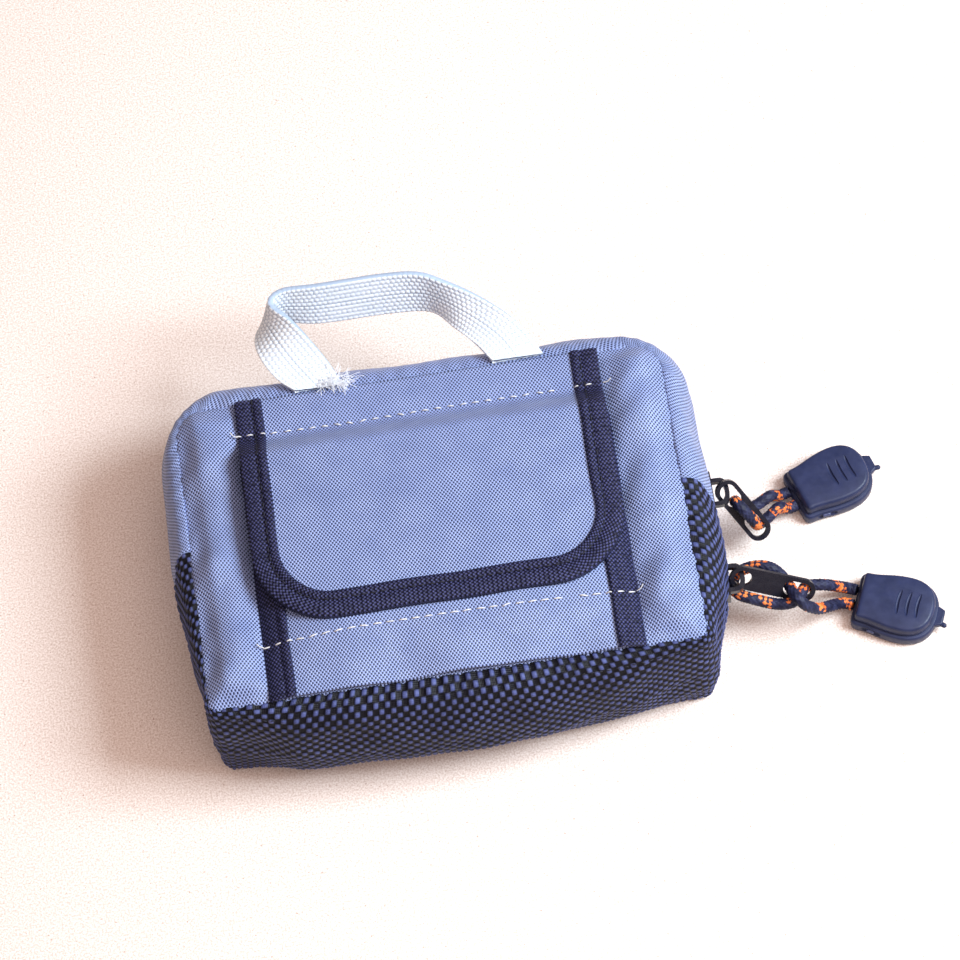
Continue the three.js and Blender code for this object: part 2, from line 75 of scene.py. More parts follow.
# Driving sizes in millimetres. The first ones come from the frame's own boxes.
HALF_W, HALF_H, DEPTH = np.array(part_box("front_panel")[1]) / MM
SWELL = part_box("rear_zip_coil")[1][0] / MM + 1 - HALF_W
ZIP_Z = DEPTH / 2
FLAP_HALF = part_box("flap_binding")[1][0] / MM
FLAP_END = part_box("flap_binding")[0][1] / MM
# Half the gap between the walls' edges along the zip, and where the zip ends on both sides.
ZIP_EDGE = 6.0
ZIP_END_Y = -34.0
HINGE_Y = 34.5
FLAP_CORNER = 21.5
BINDING = 7.7
# Corner radii of the shell at its seams and at full swell.
TOP_CORNER = (9.0, 24.0)
BOTTOM_CORNER = (3.0, 5.0)
# Larger radii, only for spacing the columns of points round the two ends.
TOP_SPACING = (9.0, 27.0)
BOTTOM_SPACING = (6.0, 20.0)
# Pitch of the ballistic cloth's basket weave, along and down.
BASKET = (3.4, 3.3)

# The pull cords: diameter, the step along a route, and how often it is smoothed.
CORD = 3.2
CORD_STEP = 0.3
CORD_SMOOTHING = 45


# ---------------------------------------------------------------- mesh helpers

def smooth(t):
    t = np.clip(t, 0, 1)
    return t * t * (3 - 2 * t)


def waves(x, y, size, seed, count=7):
    """A soft irregular height field, about -1 to 1, with features of the given size."""
    pick = np.random.default_rng(seed)
    total = np.zeros(np.broadcast(x, y).shape)
    for _ in range(count):
        angle, phase = pick.uniform(0, 2 * np.pi, 2)
        k = 2 * np.pi / (size * pick.uniform(0.7, 1.6))
        total += np.sin(k * (x * np.cos(angle) + y * np.sin(angle)) + phase)
    return total / math.sqrt(count * 2)


def mesh_object(name, points, faces, weave=None, extra=None):
    """A smooth-shaded mesh. Its points, and the weave's own coordinates, are in millimetres."""
    mesh = bpy.data.meshes.new(name)
    mesh.from_pydata((np.asarray(points, float) * MM).tolist(), [], [tuple(int(i) for i in f) for f in faces])
    mesh.validate()
    if weave is not None:
        layer = mesh.attributes.new("weave", "FLOAT_VECTOR", "POINT")
        flat = np.zeros((len(points), 3), np.float32)
        flat[:, :2] = np.asarray(weave).reshape(-1, 2)
        layer.data.foreach_set("vector", flat.ravel())
    for key, values in (extra or {}).items():
        layer = mesh.attributes.new(key, "FLOAT", "POINT")
        layer.data.foreach_set("value", np.asarray(values, np.float32).ravel())
    for polygon in mesh.polygons:
        polygon.use_smooth = True
    piece = bpy.data.objects.new(name, mesh)
    bpy.context.collection.objects.link(piece)
    return piece


def grid_faces(rows, cols, wrap_cols=False):
    last_col = cols if wrap_cols else cols - 1
    r, c = np.meshgrid(np.arange(rows - 1), np.arange(last_col), indexing="ij")
    r2 = r + 1
    c2 = (c + 1) % cols
    return np.stack([r * cols + c, r * cols + c2, r2 * cols + c2, r2 * cols + c], -1).reshape(-1, 4)


def capped_faces(rings, around, turned=False):
    """Faces of a row of rings with both ends closed. turned is for rings that run the other way round."""
    faces = grid_faces(rings, around, wrap_cols=True).tolist()
    way = -1 if turned else 1
    first = list(range(around))[::-way]
    last = [(rings - 1) * around + i for i in range(around)][::way]
    return faces + [first, last]


def grid_normals(points):
    along_rows = np.gradient(points, axis=0)
    along_cols = np.gradient(points, axis=1)
    normal = np.cross(along_cols, along_rows)
    return normal / np.maximum(np.linalg.norm(normal, axis=-1, keepdims=True), 1e-9)


def run_lengths(points, axis):
    """Distance along one axis of a grid, averaged over the other, so that a weave keeps straight threads."""
    steps = np.linalg.norm(np.diff(points, axis=axis), axis=-1).mean(axis=1 - axis)
    return np.concatenate([[0], np.cumsum(steps)])


def cloth_coordinates(points):
    v = run_lengths(points, 0)
    u = run_lengths(points, 1)
    return np.stack(np.meshgrid(u, v), -1)


def thick_sheet(name, points, thickness, weave=None, wrap_cols=False, extra=None):
    """A closed sheet: the given grid outside, the same grid moved in by the thickness, and its rims."""
    rows, cols = points.shape[:2]
    normal = grid_normals(points)
    if wrap_cols:
        padded = np.concatenate([points[:, -1:], points, points[:, :1]], 1)
        normal = grid_normals(padded)[:, 1:-1]
    inner = points - normal * thickness
    both = np.concatenate([points.reshape(-1, 3), inner.reshape(-1, 3)])
    outer_faces = grid_faces(rows, cols, wrap_cols=wrap_cols)
    count = rows * cols
    inner_faces = outer_faces[:, ::-1] + count
    rims = []
    span = cols if wrap_cols else cols - 1
    for c in range(span):
        d = (c + 1) % cols
        rims.append((d, c, c + count, d + count))
        a, b = (rows - 1) * cols + c, (rows - 1) * cols + d
        rims.append((a, b, b + count, a + count))
    if not wrap_cols:
        for r in range(rows - 1):
            a, b = r * cols, (r + 1) * cols
            rims.append((a, b, b + count, a + count))
            a, b = r * cols + cols - 1, (r + 1) * cols + cols - 1
            rims.append((b, a, a + count, b + count))
    faces = np.concatenate([outer_faces, inner_faces, np.array(rims)])
    cloth = cloth_coordinates(points) if weave is None else weave
    cloth = np.concatenate([cloth.reshape(-1, 2), cloth.reshape(-1, 2)])
    doubled = {k: np.concatenate([np.ravel(v), np.ravel(v)]) for k, v in (extra or {}).items()}
    return closed_object(name, both, faces, cloth, doubled)


def outward(piece):
    """Turns all faces of a closed mesh to point out."""
    mesh = piece.data
    co = np.array([v.co for v in mesh.vertices])
    mesh.calc_loop_triangles()
    tri = np.array([t.vertices for t in mesh.loop_triangles])
    a, b, c = co[tri[:, 0]], co[tri[:, 1]], co[tri[:, 2]]
    if np.einsum("ij,ij->i", a, np.cross(b, c)).sum() < 0:
        mesh.flip_normals()


def prolonged(points):
    """The points with one more at each end, straight on."""
    p = np.asarray(points, float)
    return np.concatenate([2 * p[:1] - p[1:2], p, 2 * p[-1:] - p[-2:-1]])


def between(a, b, c, d, t):
    """The smooth line's point at a share t of the way from b to c."""
    linear = (c - a) * t
    square = (2 * a - 5 * b + 4 * c - d) * t ** 2
    cube = (3 * b - a - 3 * c + d) * t ** 3
    return 0.5 * (2 * b + linear + square + cube)


def catmull(points, spacing):
    """A smooth line through the points, with a step of about the spacing."""
    p = prolonged(points)
    t = np.linspace(0, 1, 24, endpoint=False)[:, None]
    pieces = [between(*p[i - 1:i + 3], t) for i in range(1, len(p) - 2)]
    return resample(np.concatenate(pieces + [p[-2:-1]]), spacing)


def matched(points, count):
    """A smooth line through the points, with the same number of steps between each two."""
    p = prolonged(points)
    at = np.linspace(0, len(points) - 1.000001, count)
    i = np.floor(at).astype(int)
    return between(p[i], p[i + 1], p[i + 2], p[i + 3], (at - i)[:, None])


def resample(line, spacing):
    length = np.concatenate([[0], np.cumsum(np.linalg.norm(np.diff(line, axis=0), axis=1))])
    count = max(3, int(round(length[-1] / spacing)) + 1)
    at = np.linspace(0, length[-1], count)
    return np.stack([np.interp(at, length, line[:, k]) for k in range(line.shape[1])], 1)


def line_frames(line):
    """Two directions square to a line, carried along it without twist."""
    tangent = np.gradient(line, axis=0)
    tangent /= np.linalg.norm(tangent, axis=1, keepdims=True)
    side = np.cross(tangent[0], [0.13, 0.2, 0.97])
    sides = []
    for t in tangent:
        side = side - t * (side @ t)
        side = side / np.linalg.norm(side)
        sides.append(side)
    sides = np.array(sides)
    return tangent, sides, np.cross(tangent, sides)


def tube_mesh(line, radius, sides=8):
    """Points and faces of a closed tube along a line. radius is a number or one for each point."""
    _, right, up = line_frames(line)
    angle = np.linspace(0, 2 * np.pi, sides, endpoint=False)
    radius = np.broadcast_to(np.asarray(radius, float), (len(line),))
    around = right[:, None] * np.cos(angle)[None, :, None] + up[:, None] * np.sin(angle)[None, :, None]
    points = line[:, None] + around * radius[:, None, None]
    return points.reshape(-1, 3), capped_faces(len(line), sides)


def joined(parts):
    """One point list and face list from several."""
    points, faces, base = [], [], 0
    for p, f in parts:
        points.append(np.asarray(p))
        faces += [[i + base for i in face] for face in f]
        base += len(p)
    return np.concatenate(points), faces


def cut(piece, cutters):
    """Cuts closed meshes out of a piece, and removes the cutters."""
    for cutter in cutters:
        modifier = piece.modifiers.new("cut", "BOOLEAN")
        modifier.object = cutter
        modifier.operation = "DIFFERENCE"
        modifier.solver = "EXACT"
    graph = bpy.context.evaluated_depsgraph_get()
    done = bpy.data.meshes.new_from_object(piece.evaluated_get(graph))
    piece.modifiers.clear()
    piece.data = done
    for cutter in cutters:
        bpy.data.objects.remove(cutter)


def closed_object(name, points, faces, weave=None, extra=None):
    """A closed mesh as a piece, with its faces turned out."""
    piece = mesh_object(name, points, faces, weave, extra)
    outward(piece)
    return piece


# ---------------------------------------------------------------- materials

class Nodes:
    """A short way to write a material's node tree."""

    def __init__(self, name, color, roughness, metallic=0.0, sheen=0.0, specular=0.5):
        self.material = bpy.data.materials.new(name)
        self.material.use_nodes = True
        self.tree = self.material.node_tree
        self.shader = self.tree.nodes["Principled BSDF"]
        self.shader.inputs["Base Color"].default_value = (*color, 1)
        self.shader.inputs["Roughness"].default_value = roughness
        self.shader.inputs["Metallic"].default_value = metallic
        self.shader.inputs["Specular IOR Level"].default_value = specular
        self.shader.inputs["Sheen Weight"].default_value = sheen
        self.shader.inputs["Sheen Roughness"].default_value = 0.45

    def add(self, kind, inputs=(), **settings):
        node = self.tree.nodes.new(kind)
        for key, value in settings.items():
            setattr(node, key, value)
        for key, value in dict(inputs).items():
            self.feed(node.inputs[key], value)
        return node

    def feed(self, socket, value):
        if isinstance(value, bpy.types.NodeSocket):
            self.tree.links.new(value, socket)
        elif hasattr(socket.default_value, "__len__") and len(value) == 3 and len(socket.default_value) == 4:
            socket.default_value = (*value, 1)
        else:
            socket.default_value = value

    def math(self, operation, a, b=0.0):
        return self.add("ShaderNodeMath", {0: a, 1: b}, operation=operation).outputs[0]

    def attribute(self, name, output="Vector"):
        return self.add("ShaderNodeAttribute", attribute_name=name).outputs[output]

    def noise(self, scale, detail=3.0, coordinates=None):
        if coordinates is None:
            coordinates = self.add("ShaderNodeTexCoord").outputs["Object"]
        node = self.add("ShaderNodeTexNoise", {"Vector": coordinates, "Scale": scale, "Detail": detail})
        return node.outputs["Fac"]

    def ramp(self, value, low, high, out_low=0.0, out_high=1.0):
        node = self.add("ShaderNodeMapRange", {"Value": value, "From Min": low, "From Max": high,
                                               "To Min": out_low, "To Max": out_high})
        return node.outputs[0]

    def mix(self, factor, a, b):
        return self.add("ShaderNodeMixRGB", {"Fac": factor, "Color1": a, "Color2": b}).outputs[0]

    def color(self, value):
        self.feed(self.shader.inputs["Base Color"], value)

    def roughness(self, value):
        self.feed(self.shader.inputs["Roughness"], value)

    def bump(self, height, distance, strength=1.0):
        node = self.add("ShaderNodeBump", {"Height": height, "Distance": distance, "Strength": strength})
        self.feed(self.shader.inputs["Normal"], node.outputs[0])

    def threads(self, pitch_u, pitch_v):
        """Crossed threads: the product of two waves over the cloth's own coordinates, in millimetres."""
        parts = self.add("ShaderNodeSeparateXYZ", {0: self.attribute("weave")})
        across = self.math("SINE", self.math("MULTIPLY", parts.outputs[0], 2 * math.pi / pitch_u))
        down = self.math("SINE", self.math("MULTIPLY", parts.outputs[1], 2 * math.pi / pitch_v))
        return across, down, self.math("MULTIPLY", across, down)


def grey_nylon():
    """Coated oxford nylon: blue-grey floats in staggered rows, with painted shade, a near-black blue, in the
    small gaps between them.
    """
    n = Nodes("grey_nylon", (0.2, 0.25, 0.45), 0.55, sheen=0.1)
    across, _, product = n.threads(1.02, 1.26)
    gaps = n.ramp(product, 0.0, 0.35)
    floats = n.mix(n.ramp(n.noise(140, 4), 0.3, 0.7), (0.24, 0.305, 0.56), (0.3, 0.37, 0.64))
    # The gaps are painted a near-black blue: painted shade in the weave's hollows.
    n.color(n.mix(gaps, floats, (0.008, 0.016, 0.065)))
    n.roughness(n.ramp(n.noise(300, 2), 0.3, 0.7, 0.45, 0.62))
    n.bump(n.math("SUBTRACT", n.math("MULTIPLY", n.math("ABSOLUTE", across), 0.5), gaps), 0.00018, 0.9)
    return n.material


def black_ballistic():
    """Ballistic nylon: a painted highlight on the top of each basket bump, and painted shade, near black, in
    the gaps between bumps.
    """
    n = Nodes("black_ballistic", (0.02, 0.021, 0.04), 0.5, specular=0.22)
    height = n.attribute("bump", "Fac")
    highlight_noise = n.ramp(n.noise(90, 3), 0.35, 0.7)
    # Bump tops: a lighter blue, a painted highlight, varied by noise.
    top = n.mix(highlight_noise, (0.045, 0.056, 0.16), (0.085, 0.105, 0.27))
    # The colour falls from the painted highlight on the tops to near black low in the relief: painted shade.
    n.color(n.mix(n.ramp(height, 0.3, 0.85), (0.001, 0.001, 0.004), top))
    across, down, _ = n.threads(0.42, 0.42)
    n.bump(n.math("ADD", across, down), 0.00003, 0.6)
    return n.material


def black_binding():
    """Ribbed tape: fine ribs across its width, with lighter specks on the raised crossings of its threads, a
    painted highlight made patchy by noise.
    """
    n = Nodes("black_binding", (0.018, 0.019, 0.035), 0.6, specular=0.2)
    _, down, product = n.threads(1.1, 1.3)
    fleck = n.ramp(product, -0.15, 0.6)
    speck = n.math("MULTIPLY", fleck, n.ramp(n.noise(700, 2), 0.2, 0.55))
    # The lighter colour on the raised crossings is a painted highlight.
    n.color(n.mix(speck, (0.003, 0.003, 0.012), (0.062, 0.066, 0.175)))
    n.bump(n.math("ADD", down, n.math("MULTIPLY", product, 0.7)), 0.00012, 0.9)
    return n.material


def webbing_cloth():
    """Pale webbing: the relief is in the mesh, so this only colours it: painted shade in its gaps, and a
    noisy tone on its fibres.
    """
    n = Nodes("webbing", (0.66, 0.72, 0.78), 0.6, sheen=0.2)
    height = n.attribute("bump", "Fac")
    yarn = n.mix(n.ramp(n.noise(160, 3), 0.35, 0.65), (0.8, 0.86, 0.91), (0.88, 0.92, 0.95))
    # Low in the relief the colour turns a darker blue-grey: painted shade in the gaps.
    n.color(n.mix(n.ramp(height, 0.1, 0.65), (0.36, 0.45, 0.58), yarn))
    across, down, _ = n.threads(0.3, 0.3)
    n.bump(n.math("ADD", across, down), 0.00003, 0.5)
    return n.material


def braid():
    """Cord sheath: black strands, some of them orange, with painted shade where they dip under each other."""
    n = Nodes("braid", (0.02, 0.015, 0.03), 0.55, specular=0.25)
    orange = n.mix(n.ramp(n.noise(500, 2), 0.35, 0.7), (0.6, 0.11, 0.02), (0.85, 0.26, 0.07))
    black = n.mix(n.ramp(n.noise(420, 2), 0.4, 0.7), (0.008, 0.009, 0.03), (0.03, 0.034, 0.085))
    sheath = n.mix(n.ramp(n.attribute("orange", "Fac"), 0.35, 0.6), black, orange)
    # Where a strand dips under its neighbour the colour falls to near black: painted shade.
    n.color(n.mix(n.ramp(n.attribute("bump", "Fac"), 0.0, 0.5), (0.003, 0.003, 0.008), sheath))
    n.bump(n.noise(2600, 2), 0.00006, 0.6)
    return n.material


def moulded_plastic():
    """Black moulded plastic with a fine spark texture and a few paler specks."""
    n = Nodes("moulded_plastic", (0.022, 0.025, 0.042), 0.46, specular=0.25)
    n.color(n.mix(n.ramp(n.noise(240, 4), 0.3, 0.75), (0.013, 0.018, 0.052), (0.024, 0.031, 0.082)))
    n.roughness(n.ramp(n.noise(700, 3), 0.3, 0.7, 0.34, 0.52))
    n.bump(n.noise(4200, 2), 0.00003, 0.7)
    return n.material


def slider_metal():
    """Black enamel over cast zinc, rubbed thin along the edges."""
    n = Nodes("slider_metal", (0.012, 0.012, 0.018), 0.25, specular=0.6)
    edge = n.add("ShaderNodeNewGeometry").outputs["Pointiness"]
    rubbed = n.math("MULTIPLY", n.ramp(edge, 0.6, 0.72), n.ramp(n.noise(800, 3), 0.45, 0.65))
    n.color(n.mix(rubbed, (0.009, 0.009, 0.016), (0.06, 0.06, 0.085)))
    n.roughness(n.ramp(n.noise(600, 3), 0.3, 0.7, 0.2, 0.34))
    n.bump(n.noise(1500, 2), 0.00002, 0.4)
    return n.material


def plain_cloth(name, low, high, pitch, roughness=0.7, sheen=0.2):
    """A plain weave with one pitch, between two colours."""
    n = Nodes(name, low, roughness, sheen=sheen)
    product = n.threads(pitch, pitch)[2]
    n.color(n.mix(n.ramp(product, -0.6, 0.8), low, high))
    n.bump(n.math("ADD", product, n.math("MULTIPLY", n.noise(900, 2), 0.6)), 0.00006, 0.8)
    return n.material


def noisy(name, low, high, scale, roughness, bump=0.00005, sheen=0.0):
    """A material mottled by noise alone, for pieces with no weave of their own."""
    n = Nodes(name, low, roughness, sheen=sheen)
    n.color(n.mix(n.ramp(n.noise(scale, 4), 0.3, 0.7), low, high))
    n.roughness(n.ramp(n.noise(scale * 2, 2), 0.3, 0.7, roughness - 0.08, roughness + 0.08))
    n.bump(n.noise(scale * 4, 3), bump, 0.7)
    return n.material


LOOKS = {
    "grey_nylon": grey_nylon(),
    "black_ballistic": black_ballistic(),
    "black_binding": black_binding(),
    "webbing": webbing_cloth(),
    "cord": braid(),
    "cord_end": moulded_plastic(),
    "slider_metal": slider_metal(),
    "lining": plain_cloth("lining_taffeta", (0.03, 0.033, 0.045), (0.06, 0.065, 0.085), 0.5, 0.5),
    "zip_tape": plain_cloth("zip_tape", (0.008, 0.008, 0.015), (0.022, 0.024, 0.045), 0.8, sheen=0.0),
    "zip_coil": noisy("zip_coil", (0.012, 0.012, 0.018), (0.03, 0.03, 0.042), 600, 0.4),
    "hook_loop": noisy("hook_loop", (0.012, 0.012, 0.015), (0.04, 0.04, 0.05), 1500, 0.9, 0.0002, 0.4),
    "foam": noisy("foam", (0.6, 0.57, 0.5), (0.75, 0.72, 0.65), 900, 0.9, 0.0002),
}
THREAD = noisy("stitch_thread", (0.5, 0.5, 0.52), (0.72, 0.7, 0.67), 700, 0.7, sheen=0.3)
DARK_THREAD = noisy("dark_thread", (0.004, 0.004, 0.008), (0.014, 0.014, 0.03), 700, 0.7)


def dress(piece, slot, body=None, nodes=(), look=None):
    """Gives a piece the material of its slot, or the look given, hides the CAD nodes it stands for, and
    attaches it to the body that it rides on.
    """
    piece.data.materials.clear()
    piece.data.materials.append(look or LOOKS[slot])
    if nodes:
        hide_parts(*nodes)
    if body:
        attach(piece, body)
    return piece


# ---------------------------------------------------------------- camera, light and floor

# In metres, as the lamps are.
VIEW_TARGET = Vector((0.0138, 0.0114, 0.044))
LAMP_TARGET = Vector((0.02, 0, 0.02))
VIEW_DISTANCE = 1.2
VIEW_ELEVATION = math.radians(65)
VIEW_ROLL = math.radians(8.6)
SENSOR = 36.0
FIELD_WIDTH = 0.2697
# Half the floor's side, in millimetres.
FLOOR = 1500


def add_camera():
    back = Vector((0, -math.cos(VIEW_ELEVATION), math.sin(VIEW_ELEVATION)))
    level = Vector((1, 0, 0))
    upright = back.cross(level)
    right = level * math.cos(VIEW_ROLL) - upright * math.sin(VIEW_ROLL)
    up = level * math.sin(VIEW_ROLL) + upright * math.cos(VIEW_ROLL)
    data = bpy.data.cameras.new("camera")
    data.sensor_width = SENSOR
    data.lens = SENSOR * VIEW_DISTANCE / FIELD_WIDTH
    camera = bpy.data.objects.new("camera", data)
    rotation = Matrix((right, up, back)).transposed().to_4x4()
    camera.matrix_world = Matrix.Translation(VIEW_TARGET + back * VIEW_DISTANCE) @ rotation
    bpy.context.collection.objects.link(camera)
    bpy.context.scene.camera = camera


def add_area(name, place, size, power, color):
    data = bpy.data.lights.new(name, "AREA")
    data.size = size
    data.energy = power
    data.color = color
    lamp = bpy.data.objects.new(name, data)
    lamp.location = place
    aim = LAMP_TARGET - Vector(place)
    lamp.rotation_euler = aim.to_track_quat("-Z", "Y").to_euler()
    bpy.context.collection.objects.link(lamp)


def add_studio():
    world = bpy.data.worlds.new("studio")
    world.use_nodes = True
    background = world.node_tree.nodes["Background"]
    background.inputs["Color"].default_value = (1.0, 0.79, 0.73, 1)
    background.inputs["Strength"].default_value = 0.26
    bpy.context.scene.world = world
    bpy.context.scene.view_settings.view_transform = "Standard"
    add_area("key", (0.64, -0.1, 0.7), 0.4, 15.0, (0.77, 0.9, 1.0))
    add_area("sky", (0.25, -0.4, 1.3), 1.5, 14.5, (1.0, 0.81, 0.75))
    corners = [(-FLOOR, -FLOOR, 0), (FLOOR, -FLOOR, 0), (FLOOR, FLOOR, 0), (-FLOOR, FLOOR, 0)]
    floor = mesh_object("floor", corners, [(0, 1, 2, 3)])
    n = Nodes("floor", (0.8, 0.68, 0.62), 0.85, specular=0.2)
    grain = n.mix(n.ramp(n.noise(1900, 3), 0.36, 0.64), (0.68, 0.55, 0.47), (0.94, 0.84, 0.78))
    n.color(n.mix(n.ramp(n.noise(1300, 2), 0.66, 0.74), grain, (0.5, 0.33, 0.26)))
    floor.data.materials.append(n.material)


# ---------------------------------------------------------------- pull cords

CROWN_GRIP = {"upper": (82.95, 6.5, 22.0), "lower": (82.95, -20.5, 22.0)}
PULLS = {
    "upper": {"along": (0.49, -0.51, -0.707), "face": (0.231, -0.706, 0.67), "end": (114.2, 13, 17.5)},
    "lower": {"along": (0.923, -0.246, -0.293), "face": (-0.01, -0.782, 0.622), "end": (126, -29.2, -23.0)},
}
# Routes beside the tab: distance along it from its crown end, across it, and out from its face.
HITCHES = {
    "upper": [
        (15.2, 6.2, -3.4), (14.6, 3, -3), (12.4, 0.6, -2.8), (9.9, 0, -2.7), (7.3, 0, -0.3), (8.8, 0, 2.8),
        (12.5, 0.2, 2.6), (15, 0.3, 2.4), (17.7, 0.3, 0.4), (19.4, 0.9, -2.3), (20.6, 3.2, -3.6),
        (20.5, 6.2, -3.8),
    ],
    "lower": [
        (25.4, 0.9, -3.1), (22.9, 0.4, -2.8), (21.7, 0.1, -0.6), (20.9, -0.6, 2), (19.8, -2.4, 3),
        (17.6, -4, 2.8), (15, -5, 2.2), (12, -5.5, 1.4), (7.4, -5.4, 1), (4, -5.8, -0.4), (2.3, -4.8, -2.8),
        (2.5, -2, -4.9), (5.1, 0.6, -5.2), (8.2, 2.6, -4.2), (11.5, 3.4, -3.1), (14.8, 1.6, -3.5),
        (17, 0.3, -2.4), (17.8, 0, 0.2), (18.1, 0, 2.8), (19.8, -0.6, 5.4), (22.5, -2.2, 5.2),
        (25.2, -3.2, 3.2),
    ],
}
TAB_GRIP = 3.5
CORD_END_LENGTH = 24.0
CORD_END_MIDDLE = 4.3
# Half widths of a cord end in plan, at its neck and where it is broadest.
NECK_HALF = 8.3
BROAD_HALF = 9.7
LEAD_GAP = 0.3
# How far each lead stands off the cord end's middle line, and how straight it runs into it.
LEAD_OFFSET = 2.4
LEAD_STRAIGHT = 3


def unit(v):
    v = np.asarray(v, float)
    return v / np.linalg.norm(v)


def cord_end_axes(name):
    x, y, degrees = PULLS[name]["end"]
    turn = math.radians(degrees)
    axis = np.array([math.cos(turn), math.sin(turn), 0])
    side = np.array([-math.sin(turn), math.cos(turn), 0])
    return np.array([x, y, 0.0]), axis, side


def cord_route(name):
    """The whole cord: from the cord end along one lead, round the tab, and back along the other lead."""
    along = unit(PULLS[name]["along"])
    across = unit(np.cross(PULLS[name]["face"], along))
    face = np.cross(along, across)
    start = np.array(CROWN_GRIP[name]) - along * TAB_GRIP
    hitch = [start + t * along + w * across + n * face for t, w, n in HITCHES[name]]
    centre, axis, side = cord_end_axes(name)
    mouth = centre + [0, 0, CORD_END_MIDDLE] - axis * (CORD_END_LENGTH / 2 + LEAD_GAP)
    leads = []
    for last, before, way in ((hitch[0], hitch[1], 1), (hitch[-1], hitch[-2], -1)):
        leave = unit(last - before)
        first = last + leave * LEAD_GAP
        end = mouth + side * way * LEAD_OFFSET
        leads.append([first + leave * 2.4, end - axis * LEAD_STRAIGHT, end])
    line = catmull(leads[0][::-1] + hitch + leads[1], CORD_STEP)
    for _ in range(CORD_SMOOTHING):
        line[1:-1] = 0.5 * line[1:-1] + 0.25 * (line[:-2] + line[2:])
    return resample(line, CORD_STEP)


def braided(line, name):
    """A braided sheath along a line: crossed helices of strands, each raised where it lies on top."""
    sides, plait = 28, 4
    _, right, up = line_frames(line)
    at = np.arange(len(line))[:, None] * CORD_STEP
    angle = np.linspace(0, 2 * np.pi, sides, endpoint=False)[None]
    pitch = 6.4
    twist = 2 * np.pi * plait * at / (pitch * 2)
    plus = plait * angle + twist
    minus = plait * angle - twist
    a, b = np.sin(plus), np.sin(minus)
    lifted = np.sqrt(np.abs(a * b))
    on_top = a * b > 0
    strand = np.where(on_top, np.floor(plus / np.pi), np.floor(minus / np.pi) + 1)
    block = np.floor(at / 7.5 + 0.5 * np.where(on_top, 0, 1)) % 2
    orange = ((strand % (2 * plait) < 3) & (block > 0)).astype(float)
    radius = CORD / 2 - 0.28 + 0.46 * lifted
    around = right[:, None] * np.cos(angle)[..., None] + up[:, None] * np.sin(angle)[..., None]
    points = (line[:, None] + around * radius[..., None]).reshape(-1, 3)
    faces = capped_faces(len(line), sides)
    # lifted also gives the painted shade where the strands dip under each other.
    return closed_object(name, points, faces, extra={"bump": lifted, "orange": orange})


def add_cord(name):
    """One pull cord, laid from its cord end round its tab and back."""
    line = cord_route(name)
    piece = braided(line, f"{name}_cord")
    dress(piece, "cord", nodes=[f"{name}_cord_hitch", f"{name}_cord_lead_1", f"{name}_cord_lead_2"])
    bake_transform(piece)


# ---------------------------------------------------------------- padded shell

def swell_at(z):
    """Share of the full swell at a height: it leaves the front seam faster than the back one."""
    z = np.asarray(z, float)
    return np.maximum(0, np.sin(np.pi * z / DEPTH)) ** np.where(z > ZIP_Z, 0.35, 0.7)


def shell_points(columns, z, inset, upper, end_y, slack=False):
    """Points round one end of the shell. columns holds a segment number and a share of it: a straight side, a
    corner, the long edge, a corner and the other side. z, inset and end_y may be one for each row."""
    segment = np.floor(columns)[None]
    share = (columns - np.floor(columns))[None]
    z, inset, end_y = (np.asarray(v, float) for v in (z, inset, end_y))
    swell = swell_at(z)
    low, high = TOP_CORNER if upper else BOTTOM_CORNER
    half_x = HALF_W + SWELL * swell - inset
    half_y = HALF_H + SWELL * swell - inset
    radius = np.maximum(1, low + (high - low) * swell - inset)
    side = 1 if upper else -1
    straight_y = side * (half_y - radius)
    near = side * (half_x - radius)
    turn = (0 if upper else np.pi) + share * np.pi / 2
    cases = [segment == k for k in range(5)]
    x = np.select(cases, [
        side * half_x, near + radius * np.cos(turn), near * (1 - 2 * share),
        -near + radius * np.cos(turn + np.pi / 2), -side * half_x,
    ])
    y = np.select(cases, [
        end_y + (straight_y - end_y) * share, straight_y + radius * np.sin(turn), side * half_y,
        straight_y + radius * np.sin(turn + np.pi / 2), straight_y + (end_y - straight_y) * share,
    ])
    return bulged(x, y, np.broadcast_to(z, x.shape), swell, slack)


# How far the cloth swells out at mid depth, along each side and along the bottom and top edges.
RIGHT_BULGE = [
    (-54, 1.5), (-48, 3.0), (-42, 4.6), (-30, 8.0), (-20, 9.6), (-12, 9.9), (1, 9.2), (20, 8), (54, 8),
]
LEFT_BULGE = [(-54, 0.8), (-42, 1.4), (-29, 3.6), (-13, 5.6), (3, 7), (20, 7), (39, 6.4), (54, 6.4)]
BOTTOM_BULGE = [(-72, 3.6), (-66, 4.6), (-48, 9.4), (-12, 12.0), (20, 11.4), (51, 6.6), (66, 3.6), (72, 3)]
TOP_BULGE = [(-78, 9), (-60, 11), (-20, 11), (20, 10), (60, 9), (78, 8)]


def bulge_change(at, table, slack):
    """What the cloth's bulge adds to the even swell, at places along an edge."""
    change = np.interp(at, *np.array(table, float).T) - SWELL
    return change if slack else np.minimum(0, change)


def bulged(x, y, z, swell, slack):
    """The outline with its swell changed to the uneven one of the cloth. Without slack, nothing grows."""
    side = np.where(x > 0, bulge_change(y, RIGHT_BULGE, slack), bulge_change(y, LEFT_BULGE, slack))
    end = np.where(y > 0, bulge_change(x, TOP_BULGE, slack), bulge_change(x, BOTTOM_BULGE, slack))
    x = x + np.sign(x) * side * swell * smooth((np.abs(x) - 45) / 25)
    y = y + np.sign(y) * end * swell * smooth((np.abs(y) - 20) / 25)
    return np.stack([x, y, z], -1)


